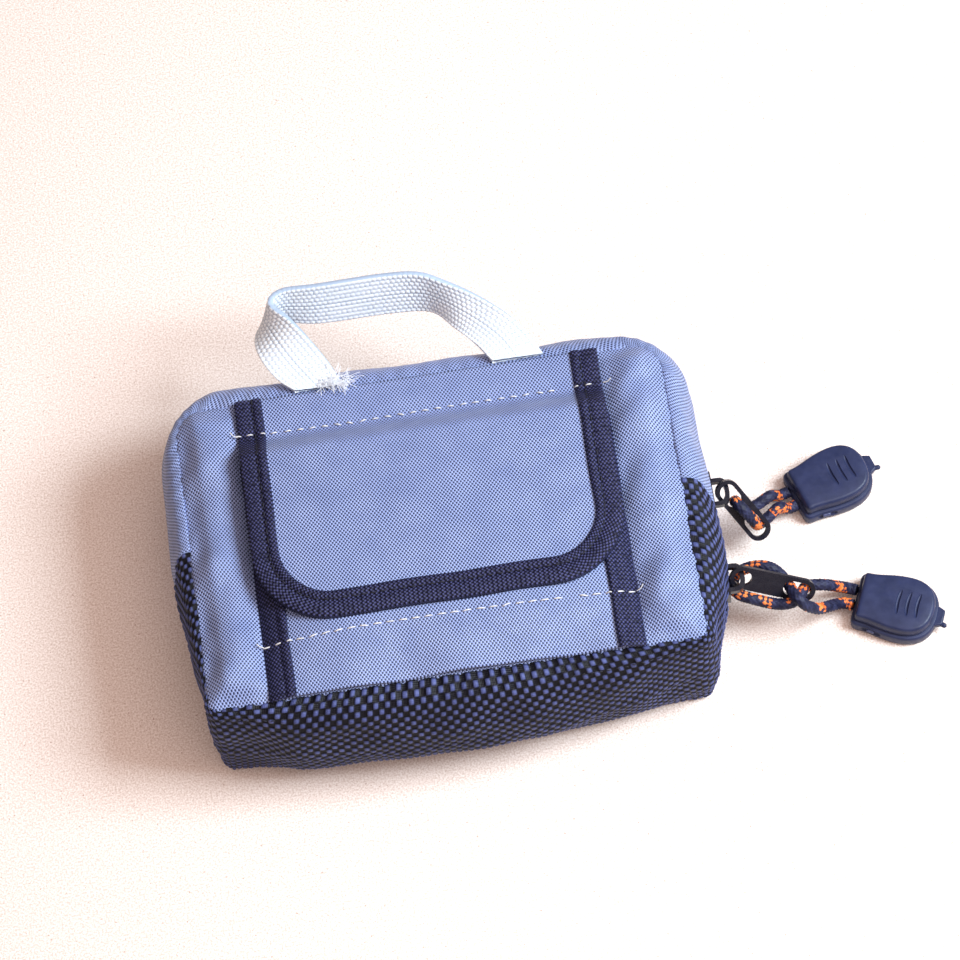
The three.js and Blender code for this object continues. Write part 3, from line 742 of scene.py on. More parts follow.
def columns_for(upper, step):
    """Column numbers for shell_points, close to one step apart at mid swell."""
    low, high = TOP_SPACING if upper else BOTTOM_SPACING
    radius = (low + high) / 2
    sides = HALF_H + SWELL / 2 - radius
    lengths = [sides, radius * np.pi / 2, 2 * (HALF_W + SWELL / 2 - radius), radius * np.pi / 2, sides]
    parts = []
    for i, length in enumerate(lengths):
        parts.append(i + np.linspace(0, 1, max(3, round(length / step)), endpoint=False))
    return np.concatenate([*parts, [4.999999]])


def wing_y(z):
    """Where the black cloth meets the grey on a side wall, at a height."""
    return 2.8 - 6 * np.minimum(z, DEPTH - z) / (ZIP_Z - ZIP_EDGE)


def wall_rows(half, step):
    """Shares of a wall's height from its panel seam, at even distances along its curved section."""
    share = np.linspace(0, 1, 1500) ** 2.5
    height = share * ZIP_Z
    out = swell_at(height if half == "rear" else DEPTH - height) * (SWELL + 2)
    length = np.concatenate([[0], np.cumsum(np.hypot(np.diff(height), np.diff(out)))])
    even = np.linspace(0, length[-1], round(length[-1] / step))
    return np.interp(even, length, share)[:, None]


def add_wall(name, half, upper, node):
    """One gusset of a half: grey round the handle end, black with a real weave round the bottom."""
    step = 1.1 if upper else 0.29
    columns = columns_for(upper, step)
    corner = smooth(np.minimum(columns, 5 - columns))[None] * (0 if upper else 1)
    zip_gap = ZIP_EDGE * (1 - corner)
    from_panel = wall_rows(half, step) * (ZIP_Z - zip_gap)
    z = from_panel if half == "rear" else DEPTH - from_panel
    tuck = 0.3 * np.exp(-from_panel / 0.5)
    hem = 0.5 * np.exp(-(ZIP_Z - zip_gap - from_panel) / 0.8) * (1 - corner)
    end = wing_y(from_panel) + (0.15 if upper else -0.15)
    points = shell_points(columns, z, 0.25 + tuck + hem, upper, end, slack=True)
    normal = grid_normals(points)
    if np.einsum("ijk,ijk->", normal, points * [1, 1, 0]) < 0:
        points = points[:, ::-1]
        normal = grid_normals(points)
    cloth = cloth_coordinates(points)
    slack = smooth(from_panel / 5) * smooth((ZIP_Z - zip_gap - from_panel) / 4)
    soft = waves(cloth[..., 0], cloth[..., 1] * 1.7, 24, 3 if upper else 5) * 0.4 * slack
    pucker = 0.22 * np.sin(cloth[..., 0] * 2 * np.pi / 5.5 + 1.3 * waves(cloth[..., 0], 0, 17, 11))
    points = points + normal * (soft + pucker * np.exp(-from_panel / 2.6))[..., None]
    extra = None
    if not upper:
        wobble = 0.12 * waves(cloth[..., 0], cloth[..., 1], 9, 21)
        along = np.sin((cloth[..., 0] + wobble) * 2 * np.pi / BASKET[0])
        crossed = along * np.sin(cloth[..., 1] * 2 * np.pi / BASKET[1])
        relief = np.clip(crossed + 0.12, 0, 1) ** 0.6
        points = points + normal * (0.5 * relief - 0.25)[..., None]
        # The relief is also kept for the black cloth's painted highlight and painted shade.
        extra = {"bump": relief}
    piece = thick_sheet(name, points, 1.0, cloth, extra=extra)
    return dress(piece, "grey_nylon" if upper else "black_ballistic", f"{half}_shell", [node])


def panel_half_width(y):
    """Half width of the panel's rounded outline at a height up it."""
    top, bottom = TOP_CORNER[0], BOTTOM_CORNER[0]
    rise = np.clip(y - (HALF_H - top), 0, top)
    fall = np.clip(-y - (HALF_H - bottom), 0, bottom)
    cut_top = top - np.sqrt(np.maximum(0, top ** 2 - rise ** 2))
    cut_bottom = bottom - np.sqrt(np.maximum(0, bottom ** 2 - fall ** 2))
    return HALF_W - cut_top - cut_bottom


def panel_grid(step):
    """A flat grid over the panel's outline, with rows closer together at its two ends."""
    rows = round(2 * HALF_H / step)
    t = np.linspace(-1, 1, rows)
    y = (HALF_H - 0.05) * np.sign(t) * (1 - (1 - np.abs(t)) ** 1.12)
    s = np.linspace(-1, 1, round(2 * HALF_W / step))
    x = panel_half_width(y)[:, None] * s[None]
    return np.stack([x, np.broadcast_to(y[:, None], x.shape), np.zeros(x.shape)], -1)


def edge_distance(points):
    """Distance in from the panel's outline, roughly."""
    x, y = points[..., 0], points[..., 1]
    return np.maximum(0, np.minimum(panel_half_width(y) - np.abs(x), HALF_H - np.abs(y)))


def held(points, front):
    """Where the cover is sewn down: its outline, and on the front the two sides of the pocket."""
    pinned = edge_distance(points) < 0.6
    if front:
        strip = np.abs(np.abs(points[..., 0]) - FLAP_HALF) < 0.9
        pinned |= strip | ((np.abs(points[..., 0]) < FLAP_HALF) & (points[..., 1] < HALF_H))
    return pinned


CLOTH_FRAMES = 20


def puffed_by_cloth(points, front):
    """The cover's rise when its cloth is blown up by the foam behind it, held along its seams."""
    rows, cols = points.shape[:2]
    start = points + 0.0
    start[..., 2] += 0.25 * (1 - np.exp(-edge_distance(points) / 3))
    sheet = mesh_object("sim", start.reshape(-1, 3), grid_faces(rows, cols))
    group = sheet.vertex_groups.new(name="pin")
    group.add([int(i) for i in np.flatnonzero(held(points, front))], 1.0, "REPLACE")
    cloth = sheet.modifiers.new("cloth", "CLOTH")
    settings = cloth.settings
    settings.quality = 6
    settings.mass = 0.15
    settings.vertex_group_mass = "pin"
    settings.use_pressure = True
    settings.uniform_pressure_force = 40.0 if front else 2.5
    settings.tension_stiffness = 18
    settings.compression_stiffness = 18
    settings.bending_stiffness = 0.4
    settings.shrink_min = -0.09 if front else -0.004
    settings.effector_weights.gravity = 0
    cloth.collision_settings.use_collision = False
    scene = bpy.context.scene
    for number in range(1, CLOTH_FRAMES + 1):
        scene.frame_set(number)
    graph = bpy.context.evaluated_depsgraph_get()
    done = sheet.evaluated_get(graph)
    after = np.array([v.co for v in done.data.vertices]).reshape(rows, cols, 3) / MM
    scene.frame_set(1)
    bpy.data.objects.remove(sheet)
    moved = np.where(np.isfinite(after), after, start) - points
    return np.clip(moved[..., 2], -0.3, 6.5)


def smoothed(field, passes):
    """The field averaged with its neighbours, the given number of times."""
    for _ in range(passes):
        padded = np.pad(field, 1, mode="edge")
        around = padded[:-2, 1:-1] + padded[2:, 1:-1] + padded[1:-1, :-2] + padded[1:-1, 2:]
        field = 0.5 * field + 0.125 * around
    return field


def regrid(field, rows, cols):
    """The field at a finer grid over the same square."""
    r = np.linspace(0, field.shape[0] - 1, rows)
    c = np.linspace(0, field.shape[1] - 1, cols)
    down = np.stack([np.interp(r, np.arange(field.shape[0]), field[:, k]) for k in range(field.shape[1])], 1)
    return np.stack([np.interp(c, np.arange(field.shape[1]), down[k]) for k in range(rows)])


def add_cover(name, half):
    """The grey cover over one panel's foam."""
    front = half == "front"
    coarse = panel_grid(1.6)
    rise = puffed_by_cloth(coarse, front)
    points = panel_grid(0.8)
    rise = smoothed(regrid(smoothed(rise, 2), *points.shape[:2]), 3)
    x, y = points[..., 0], points[..., 1]
    inward = edge_distance(points)
    free = smooth(inward / 3)
    if front:
        beside = np.clip(np.abs(x) - FLAP_HALF, 0, None)
        free = free * smooth(beside / 3)
        crease = np.exp(-inward / 5) * waves(y, x * 0.25, 13, 8)
        strip = np.clip(beside / np.maximum(1, panel_half_width(y) - FLAP_HALF), 0, 1)
        rise = 0.6 * rise + 3.6 * np.sin(np.pi * strip) ** 0.8 * smooth(inward / 7)
        rise = rise + free * (0.45 * waves(x * 1.5, y, 17, 9) + 0.9 * crease)
        sign = 1
    else:
        rise = rise + free * 0.25 * waves(x, y, 30, 12)
        sign = -1
    base = DEPTH if front else 0.9
    # The back cover stays above the surface it lies on, so its softness goes inward.
    height = base + 0.1 + rise if front else np.maximum(0.02, base - 0.75 * np.clip(rise, 0, 1.2))
    points = points + np.stack([np.zeros_like(x), np.zeros_like(x), height], -1)
    edge = np.exp(-inward / 0.8) * 0.7
    points[..., 2] -= sign * edge
    points = points if front else points[:, ::-1]
    piece = thick_sheet(name, points, 0.9, points[..., :2].copy())
    side = "front" if front else "back"
    return dress(piece, "grey_nylon", f"{half}_shell", [f"{side}_panel", f"{side}_foam"])


def add_lining(half):
    """The lining tray behind one panel's foam and gusset."""
    columns = np.concatenate([columns_for(True, 2.2)[:-1], columns_for(False, 2.2)[:-1] + 10])
    upper = columns < 10
    levels = []
    for z, inset in tray_levels():
        height = z if half == "rear" else DEPTH - z
        high = shell_points(columns[upper], height, inset, True, 0.0)
        low = shell_points(columns[~upper] - 10, height, inset, False, 0.0)
        levels.append(np.concatenate([high, low], 1)[0])
    # The floor of the tray closes along a line at its middle.
    middle = levels[-1] * [0.6, 0, 1]
    points = np.array(levels + [0.5 * (levels[-1] + middle), middle])
    cloth = cloth_coordinates(points)
    wrinkle = waves(points[..., 0], points[..., 1], 26, 31) * 0.45
    deep = smooth(np.linspace(0, 1, len(points)) * 6)[:, None]
    points[..., 2] += (1 if half == "rear" else -1) * wrinkle * deep * 0.6
    piece = thick_sheet(f"{half}_lining_cloth", points, 0.4, cloth, wrap_cols=True)
    return dress(piece, "lining", f"{half}_shell", [f"{half}_lining"])


def tray_levels():
    """Heights of the tray's rings above its panel, with how far each is drawn in from the shell."""
    wall = [(z, 1.9) for z in (15.9, 13.5, 11, 9, 7.2, 6)]
    edge = [(5.4, 2.6), (5.15, 4), (5.1, 7), (5.1, 12), (5.15, 18)]
    return wall + edge + [(5.2, inset) for inset in (25, 32, 40, 46)]


ZIP_STEP = 0.9
COIL_STEP = 0.16
COIL_PITCH = 1.25
COIL_RADIUS = 0.72
COIL_WIRE = 0.2


def zip_route(z):
    """The line round the right side, the top and the left side that the zip follows."""
    line = shell_points(columns_for(True, ZIP_STEP), ZIP_Z, 2.0, True, ZIP_END_Y)[0]
    line[:, 2] = z
    return line


def add_zip(half):
    """Zip tape and its coil, on one half."""
    sign = 1 if half == "rear" else -1
    start = ZIP_Z - sign * (ZIP_EDGE - 0.4)
    end = ZIP_Z - sign * 2.6
    rows = np.linspace(0, 1, 9)[:, None]
    route = zip_route(0)
    under_hem = shell_points(columns_for(True, ZIP_STEP), ZIP_Z, 1.3, True, ZIP_END_Y, slack=True)
    points = under_hem + (route[None] - under_hem) * smooth(rows * 2)[..., None]
    points[..., 2] = start + (end - start) * rows
    normal = grid_normals(points)
    cloth = cloth_coordinates(points)
    points = points + normal * (0.25 * waves(cloth[..., 0], 0, 15, 41) * np.sin(np.pi * rows))[..., None]
    tape = thick_sheet(f"{half}_tape_cloth", points, 0.6, cloth)
    dress(tape, "zip_tape", f"{half}_shell", [f"{half}_zip_tape"])
    line = resample(zip_route(ZIP_Z - sign * 1.6), COIL_STEP)
    _, right, up = line_frames(line)
    turn = np.arange(len(line)) * COIL_STEP / COIL_PITCH * 2 * np.pi
    coil = line + right * (COIL_RADIUS * np.cos(turn))[:, None] + up * (COIL_RADIUS * np.sin(turn))[:, None]
    piece = closed_object(f"{half}_coil", *tube_mesh(coil, COIL_WIRE, 5))
    dress(piece, "zip_coil", f"{half}_shell", [f"{half}_zip_coil"])


# ---------------------------------------------------------------- pocket and flap

POCKET_SEAM_Y = -45.6
POCKET_BASE = 44.35
POCKET_RISE = 5.7
FURROW = 0.36


def pocket_height(x, y):
    """Outer face of the pocket, with soft folds gathered into its bottom seam."""
    across = 1 - np.minimum(1, np.abs(x) / FLAP_HALF) ** 6
    down = smooth((y - POCKET_SEAM_Y + 6) / 26)
    near_seam = np.exp(-(y - POCKET_SEAM_Y) / 14)
    folds = near_seam * (0.9 * np.sin(x / 7.5 + 0.6) + 0.5 * np.sin(x / 3.9 + 2)) * across
    lift = 0.8 * near_seam * across
    puff = POCKET_RISE * across * (0.12 + 0.88 * down)
    return POCKET_BASE + puff + lift + 0.95 * folds + 0.25 * across * waves(x, y, 24, 51)


def folded_tape(across):
    """Height of a tape over its width: a narrow ridge on its inner side, a stitched furrow, a broad part."""
    ridge = 0.75 * np.sin(np.pi * np.clip(across / FURROW, 0, 1)) ** 0.5
    broad = 0.5 * np.sin(np.pi * np.clip((across - FURROW) / (1 - FURROW), 0, 1)) ** 0.5
    return np.maximum(ridge, broad)


def add_pocket():
    """The patch pocket under the flap, and the tapes bound over its two sides."""
    s = np.linspace(-1, 1, 131)
    s = np.sign(s) * (1 - (1 - np.abs(s)) ** 1.25)
    y = np.concatenate([[26.0], np.linspace(25.8, -45.9, 90)])
    x, y = np.meshgrid(s * FLAP_HALF, y)
    z = pocket_height(x, y)
    z = z + 0.7 * smooth((y - 20.5) / 0.6) * (1 - np.abs(x / FLAP_HALF) ** 8)
    points = np.stack([x, y, z], -1)[::-1]
    piece = thick_sheet("pocket_cloth", points, 0.7, points[..., :2].copy())
    dress(piece, "grey_nylon", "front_shell", ["pocket_panel"])
    for side, label in ((-1, "left"), (1, "right")):
        across = np.linspace(0, 1, 27)
        rows = np.linspace(-46.3, 26, 110)
        x = FLAP_HALF + 0.55 - BINDING * (1 - across)[None] + 0.12 * waves(rows, 0, 20, 61)[:, None]
        y = np.broadcast_to(rows[:, None], x.shape)
        lie = pocket_height(np.minimum(x, FLAP_HALF - 0.5), y) + 0.75
        turn_down = smooth((across - 0.82) / 0.18)[None]
        lie = lie - turn_down * np.maximum(0, lie - 44.9)
        ridge = folded_tape(across)[None]
        points = np.stack([side * x, y, lie + ridge], -1)
        points = points if side > 0 else points[:, ::-1]
        weave = np.stack([np.abs(points[..., 0]), points[..., 1]], -1)
        tape = thick_sheet(f"pocket_tape_{label}_cloth", points, 0.6, weave)
        dress(tape, "black_binding", "front_shell", [f"pocket_tape_{label}"])


# The flap: where its sewn root ends, the height of its root and of its raised part, and its cloth's inset.
ROOT_TOP = 45.9
ROOT_Z = 45.75
FLAP_Z = 53.3
FLAP_INSET = 1.6


def flap_height(x, y):
    """Top face of the flap: low on its stitched root, over the pocket's mouth, then down along the pocket."""
    climb = smooth((HINGE_Y - y) / 9.5)
    droop = 1.5 * smooth((20 - y) / 50)
    sides = (np.minimum(1.05, np.abs(x) / FLAP_HALF)) ** 5
    swell = 0.4 * np.exp(-((y - 40) / 4) ** 2)
    soft = 0.22 * waves(x, y, 40, 71) + 0.05 * waves(x, y, 11, 72)
    return ROOT_Z + swell + (FLAP_Z - ROOT_Z - droop - 1.3 * sides) * climb + soft * (0.25 + 0.75 * climb)


def flap_half_width(y, inset):
    """Half width of the flap's U outline at a height up it, with its rim drawn in by an inset."""
    radius = FLAP_CORNER - inset
    drop = np.clip(FLAP_END + FLAP_CORNER - y, 0, radius)
    return FLAP_HALF - FLAP_CORNER + np.sqrt(np.maximum(0, radius ** 2 - drop ** 2))


def bend_at_hinge(piece):
    """Bakes the placement of a piece of the flap into its mesh."""
    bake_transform(piece)


def add_flap():
    """The flap's cloth with its binding, and the hook-and-loop strips that close it."""
    t = np.linspace(0, 1, 120)
    low = FLAP_END + FLAP_INSET + 0.02
    y = low + (ROOT_TOP - low) * (t ** 1.25)
    s = np.linspace(-1, 1, 130)
    x = flap_half_width(y, FLAP_INSET)[:, None] * s[None]
    y = np.broadcast_to(y[:, None], x.shape)
    points = np.stack([x, y, flap_height(x, y) - 0.25], -1)
    sheet = thick_sheet("flap_cloth", points, 0.8, points[..., :2].copy())
    dress(sheet, "grey_nylon", nodes=["flap_panel", "flap_root"])
    binding = add_flap_binding()
    bend_at_hinge(sheet)
    bend_at_hinge(binding)
    for node, body, lift in (("pocket_loop_strip", "front_shell", 1), ("flap_hook_strip", "flap", -1)):
        add_hook_strip(node, body, lift)


def u_line(inset, step):
    """The flap's edge line, drawn in by an inset: down the left side, round the end and up the right side."""
    half = FLAP_HALF - inset
    radius = FLAP_CORNER - inset
    corner_x = FLAP_HALF - FLAP_CORNER
    corner_y = FLAP_END + FLAP_CORNER
    left = [(-half, y) for y in np.linspace(ROOT_TOP, corner_y, 60)]
    turn = np.linspace(0, np.pi / 2, 40)
    arc_left = [(-corner_x - radius * np.cos(a), corner_y - radius * np.sin(a)) for a in turn[1:]]
    arc_right = [(corner_x + radius * np.sin(a), corner_y - radius * np.cos(a)) for a in turn]
    right = [(half, y) for y in np.linspace(corner_y, ROOT_TOP, 60)[1:]]
    line = np.array(left + arc_left + arc_right + right)
    return resample(line, step)


def add_flap_binding():
    """Ribbed tape folded round the flap's edge: an upper face, a rounded edge and an under face."""
    step = 0.55
    middle = u_line(BINDING / 2, step)
    tangent = np.gradient(middle, axis=0)
    tangent /= np.linalg.norm(tangent, axis=1, keepdims=True)
    out = np.stack([tangent[:, 1], -tangent[:, 0]], 1)
    if out[0, 0] > 0:
        out = -out
    across = np.linspace(-1, 1, 33)
    wander = 0.15 * waves(np.arange(len(middle)) * step, 0, 25, 81)
    offset = across[None] * (BINDING / 2) + wander[:, None]
    xy = middle[:, None] + out[:, None] * offset[..., None]
    round_edge = np.sqrt(np.maximum(0, 1 - np.clip((across - 0.5) / 0.5, 0, 1) ** 2))
    top = flap_height(xy[..., 0], xy[..., 1]) + 0.15
    top_face = top + 1.1 * folded_tape((1 + across) / 2)[None]
    under = top - 1.5 - 0.35 * round_edge[None]
    band = np.concatenate([
        np.dstack([xy, top_face]), np.dstack([xy[:, ::-1], np.maximum(under, 44.9)[:, ::-1]]),
    ], 1)
    rows, cols = band.shape[:2]
    run = np.arange(rows) * step
    lane = np.concatenate([across, across[::-1] + 2.4]) * BINDING / 2
    weave = np.stack(np.meshgrid(lane, run), -1)
    faces = capped_faces(rows, cols, turned=True)
    piece = closed_object("flap_binding_cloth", band.reshape(-1, 3), faces, weave)
    return dress(piece, "black_binding", nodes=["flap_binding"])


def add_hook_strip(node, body, lift):
    """A hook-and-loop strip: a backing with a field of short bent fibres."""
    low, high = (np.array(c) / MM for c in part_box(node))
    height = pocket_height if lift > 0 else flap_height
    pick = np.random.default_rng(91 if lift > 0 else 92)
    parts = []
    rows, cols = 14, 60
    x = np.linspace(low[0], high[0], cols)
    y = np.linspace(low[1], high[1], rows)
    gx, gy = np.meshgrid(x, y)
    over = 0.55 if lift > 0 else -1.75
    slab = np.stack([gx, gy, height(gx, gy) + over + 0.03 * waves(gx, gy, 4, 5)], -1)
    flat = slab.reshape(-1, 3)
    back = flat - [0, 0, lift * 0.3]
    faces = grid_faces(rows, cols)
    parts.append((np.concatenate([flat, back]), np.concatenate([faces, faces[:, ::-1] + len(flat)]).tolist()))
    for px in np.arange(low[0] + 0.8, high[0] - 0.6, 1.5):
        for py in np.arange(low[1] + 0.8, high[1] - 0.6, 1.5):
            lean = pick.uniform(-0.4, 0.4, 2)
            root = np.array([px, py, height(px, py) + over]) + [*pick.uniform(-0.2, 0.2, 2), 0]
            bend = root + [lean[0], lean[1], lift * 0.35]
            tip = root + [2.4 * lean[0], 2.4 * lean[1], lift * 0.25]
            parts.append(tube_mesh(catmull([root, bend, tip], 0.2), 0.07, 4))
    piece = mesh_object(f"{node}_pile", *joined(parts))
    dress(piece, "hook_loop", body, [node])


# ---------------------------------------------------------------- stitches

STITCH_STEP = 0.15


def stitch_run(line, length, gap, radius, lift, pick, skip=0.0):
    """Short raised threads along a line of surface points, each end dipping into the cloth."""
    fine = resample(line, STITCH_STEP)
    parts = []
    stride = int((length + gap) / STITCH_STEP)
    span = int(length / STITCH_STEP)
    for i in range(0, len(fine) - span, stride):
        if pick.uniform() < skip:
            continue
        jog = pick.normal(0, 0.09, 2)
        path = fine[i:i + span:4] + 0.0
        arch = np.sin(np.linspace(0, np.pi, len(path))) ** 0.6
        path[:, 2] += lift * arch - radius * 0.5
        path[:, 0] += jog[0]
        path[:, 1] += jog[1] * np.linspace(-1.5, 1.5, len(path))
        parts.append(tube_mesh(path, radius * (0.6 + 0.4 * arch), 6))
    return joined(parts)


def surface_line(points, height):
    """Points of a plan line, raised onto a height function."""
    line = resample(np.asarray(points, float), 0.5)
    return np.dstack([line[:, 0], line[:, 1], height(line[:, 0], line[:, 1])])[0]


def on_binding(x):
    return np.abs(x) > FLAP_HALF - BINDING


def add_stitches():
    """Pale stitch rows across the flap's root and the pocket, their loose ends, and dark topstitching."""
    pick = np.random.default_rng(17)
    top = surface_line([(-53, HINGE_Y + 0.3), (-20, HINGE_Y - 0.3), (10, HINGE_Y + 0.2), (53, HINGE_Y + 0.1)],
                       lambda x, y: flap_height(x, y) + 0.15 + 0.62 * on_binding(x))
    flap_row = mesh_object("flap_stitches", *stitch_run(top, 2.5, 1.1, 0.22, 0.3, pick, 0.03))
    dress(flap_row, "webbing", look=THREAD)
    bend_at_hinge(flap_row)
    low = surface_line([(-52.5, -30.6), (-15, -29.7), (20, -30.2), (52.5, -30.4)],
                       lambda x, y: pocket_height(np.clip(x, -51, 51), y) + 0.1 + 1.0 * on_binding(x))
    pocket_row = mesh_object("pocket_stitches", *stitch_run(low, 2.6, 1.1, 0.23, 0.32, pick, 0.02))
    dress(pocket_row, "webbing", "front_shell", look=THREAD)
    tails = []
    for points in (
        [(-52.2, -30.5, 46.4), (-53.2, -30.2, 47.0), (-54.0, -29.6, 47.8)],
        [(-52.2, 34.6, 46.6), (-53.3, 35.0, 47.0), (-54.0, 35.8, 47.9)],
        [(52.3, 34.6, 46.6), (53.6, 34.4, 47.2), (54.6, 34.9, 48.1)],
        [(52.0, -30.3, 46.4), (53.2, -30.0, 47.2), (54.0, -29.2, 48.0)],
    ):
        tails.append(tube_mesh(catmull(points, 0.3), 0.16, 6))
    tail = mesh_object("thread_tails", *joined(tails))
    dress(tail, "webbing", "front_shell", look=THREAD)
    add_topstitching(pick)


def add_topstitching(pick):
    """Dark machine stitching: beside the bottom seam, and along the flap binding's furrow."""
    columns = columns_for(False, 0.6)
    columns = columns[(columns > 0.96) & (columns < 4.04)]
    line = shell_points(columns, DEPTH - 2.2, 0.0, False, 0.0)[0]
    line = line + np.array([0, -0.15, 0])
    row = mesh_object("bottom_topstitch", *stitch_run(line, 1.7, 0.7, 0.17, 0.1, pick))
    dress(row, "black_ballistic", "front_shell", look=DARK_THREAD)
    plan = u_line((1 - FURROW) * BINDING, 0.5)
    line = np.column_stack([plan, flap_height(plan[:, 0], plan[:, 1]) + 0.72])
    row = mesh_object("binding_stitch_inner", *stitch_run(line, 2.0, 0.7, 0.19, 0.16, pick))
    dress(row, "black_binding", look=DARK_THREAD)
    bend_at_hinge(row)


# ---------------------------------------------------------------- handle

# The strap's two edges, upper then lower, as the sewn ends and the standing middle lie.
STRAP_EDGES = [
    [(-20.5, 46.9, 45.3), (-34.5, 46.9, 45.1)], [(-24, 53.5, 48), (-38.5, 51, 45)],
    [(-28.5, 60, 51.5), (-42.5, 57.5, 46.5)], [(-33, 66, 53.5), (-43.5, 65, 43.5)],
    [(-37.5, 71.5, 54), (-41.5, 71, 40)], [(-34, 75, 54), (-36, 73, 39.8)],
    [(-24, 75, 54.2), (-25, 70.8, 39.8)], [(-5, 75, 54.4), (-5, 70.4, 40)],
    [(5, 74, 54.3), (5, 69.6, 40)], [(12, 71, 52.8), (9.5, 67, 40.6)],
    [(20, 66.5, 50.6), (13.2, 61, 42.5)], [(27.5, 60.5, 49), (16.2, 56.6, 43.8)],
    [(33, 54.5, 47.2), (19.3, 52.2, 44.7)], [(37, 46.9, 45.3), (22.3, 46.9, 45.1)],
]


# The webbing's half thickness, its relief, and the pitch of its ribs across and down.
STRAP_HALF = 0.62
STRAP_RELIEF = 0.34
STRAP_PITCH = (1.45, 1.5)


def add_handle():
    """The webbing handle, as one ribbed band through its two edges, with its frayed end."""
    upper = matched([e[0] for e in STRAP_EDGES], 560)
    lower = matched([e[1] for e in STRAP_EDGES], 560)
    share = np.linspace(0, 1, 52)[None, :, None]
    points = upper[:, None] * (1 - share) + lower[:, None] * share
    normal = grid_normals(points)
    cloth = cloth_coordinates(points)
    u, v = cloth[..., 0], cloth[..., 1]
    rib = np.abs(np.sin(np.pi * u / STRAP_PITCH[0]))
    pick_rows = np.abs(np.sin(np.pi * (v / STRAP_PITCH[1] + 0.5 * np.floor(u / STRAP_PITCH[0]))))
    relief = (rib * pick_rows) ** 0.5
    bow = 0.25 * waves(u, v, 26, 101)
    front = points + normal * (STRAP_HALF + bow + STRAP_RELIEF * relief)[..., None]
    back = points + normal * (-STRAP_HALF + bow - STRAP_RELIEF * relief)[..., None]
    loop = np.concatenate([front, back[:, ::-1]], 1)
    faces = capped_faces(*loop.shape[:2], turned=True)
    weave = np.concatenate([cloth, cloth[:, ::-1]], 1)
    # The relief, also used for the webbing's painted shade in its gaps.
    bump = np.concatenate([relief, relief[:, ::-1]], 1)
    strap = closed_object("handle_webbing", loop.reshape(-1, 3), faces, weave, {"bump": bump})
    dress(strap, "webbing", "handle", ["handle_strap"])
    add_tuft()


def add_tuft():
    """Frayed ends of the webbing, where the strap's left end was cut short of the seam."""
    pick = np.random.default_rng(5)
    parts = []
    for _ in range(120):
        root = np.array([pick.uniform(-27, -19.2), pick.uniform(46.2, 49.2), 46.2 + pick.uniform(0, 1.2)])
        reach = pick.uniform(1.8, 4.6)
        heading = pick.normal(-0.5, 0.85)
        ahead = np.array([math.cos(heading), math.sin(heading), pick.uniform(0.0, 0.6)])
        curl = np.array([*pick.normal(0, 0.8, 2), pick.uniform(-0.2, 0.6)])
        middle = root + ahead * reach * 0.5 + curl * 0.5
        tip = root + ahead * reach + curl
        parts.append(tube_mesh(catmull([root, middle, tip], 0.45), 0.075, 4))
    tuft = mesh_object("handle_fray", *joined(parts))
    dress(tuft, "webbing", "handle", look=noisy("fray", (0.86, 0.89, 0.93), (0.95, 0.96, 0.98), 400, 0.6))


# ---------------------------------------------------------------- cord ends

def bezier(a, b, c, d, count):
    """Points of a curve from a toward d, without its last one."""
    t = np.linspace(0, 1, count, endpoint=False)[:, None]
    a, b, c, d = (np.array(p, float) for p in (a, b, c, d))
    return a * (1 - t) ** 3 + 3 * b * t * (1 - t) ** 2 + 3 * c * t ** 2 * (1 - t) + d * t ** 3


def cord_end_outline(inset):
    """Outline in plan, from a straight neck to a broad round end."""
    half = CORD_END_LENGTH / 2 - inset
    neck = NECK_HALF - inset
    broad = BROAD_HALF - inset
    soft = max(0.8, 2.4 - inset)
    corner = -half + soft / 3
    shoulder = -half + soft
    points = [
        bezier((-half, -neck + soft), (-half, -neck + soft / 3), (corner, -neck), (shoulder, -neck), 8),
        bezier((shoulder, -neck), (-6, -neck), (-3, -broad), (2, -broad), 14),
        bezier((2, -broad), (8, -broad), (half, -broad + 3), (half, 0), 20),
        bezier((half, 0), (half, broad - 3), (8, broad), (2, broad), 20),
        bezier((2, broad), (-3, broad), (-6, neck), (shoulder, neck), 14),
        bezier((shoulder, neck), (corner, neck), (-half, neck - soft / 3), (-half, neck - soft), 8),
        bezier((-half, neck - soft), (-half, 2), (-half, -2), (-half, -neck + soft), 12),
    ]
    return np.concatenate(points)


def moulded(name, levels):
    """A closed moulding through outlines at (height, inset) levels."""
    rings = []
    for z, inset in levels:
        outline = cord_end_outline(inset)
        rings.append(np.column_stack([outline, np.full(len(outline), z)]))
    return closed_object(name, np.concatenate(rings), capped_faces(len(levels), len(outline)))


def bar(name, start, end, radius):
    """A round-ended bar, for grooves and pegs."""
    line = resample(np.array([start, end], float), 0.25)
    share = np.linspace(-1, 1, len(line))
    length = np.linalg.norm(np.subtract(end, start))
    from_end = (1 - np.abs(share)) * length / 2
    width = radius * np.sqrt(np.clip(1 - (1 - np.minimum(1, from_end / radius)) ** 2, 0.02, 1))
    return closed_object(name, *tube_mesh(line, width, 14))


def groove(x):
    """A cutter for one groove across the cap: bowed toward the neck, and shallow at both ends."""
    t = np.linspace(-1, 1, 41)
    line = np.column_stack([x - 0.5 * (1 - t ** 2) + 0.25, 4.1 * t, 8.38 + 0.35 * t ** 6])
    return closed_object("groove", *tube_mesh(line, 0.15 + 0.42 * (1 - t ** 4), 14))


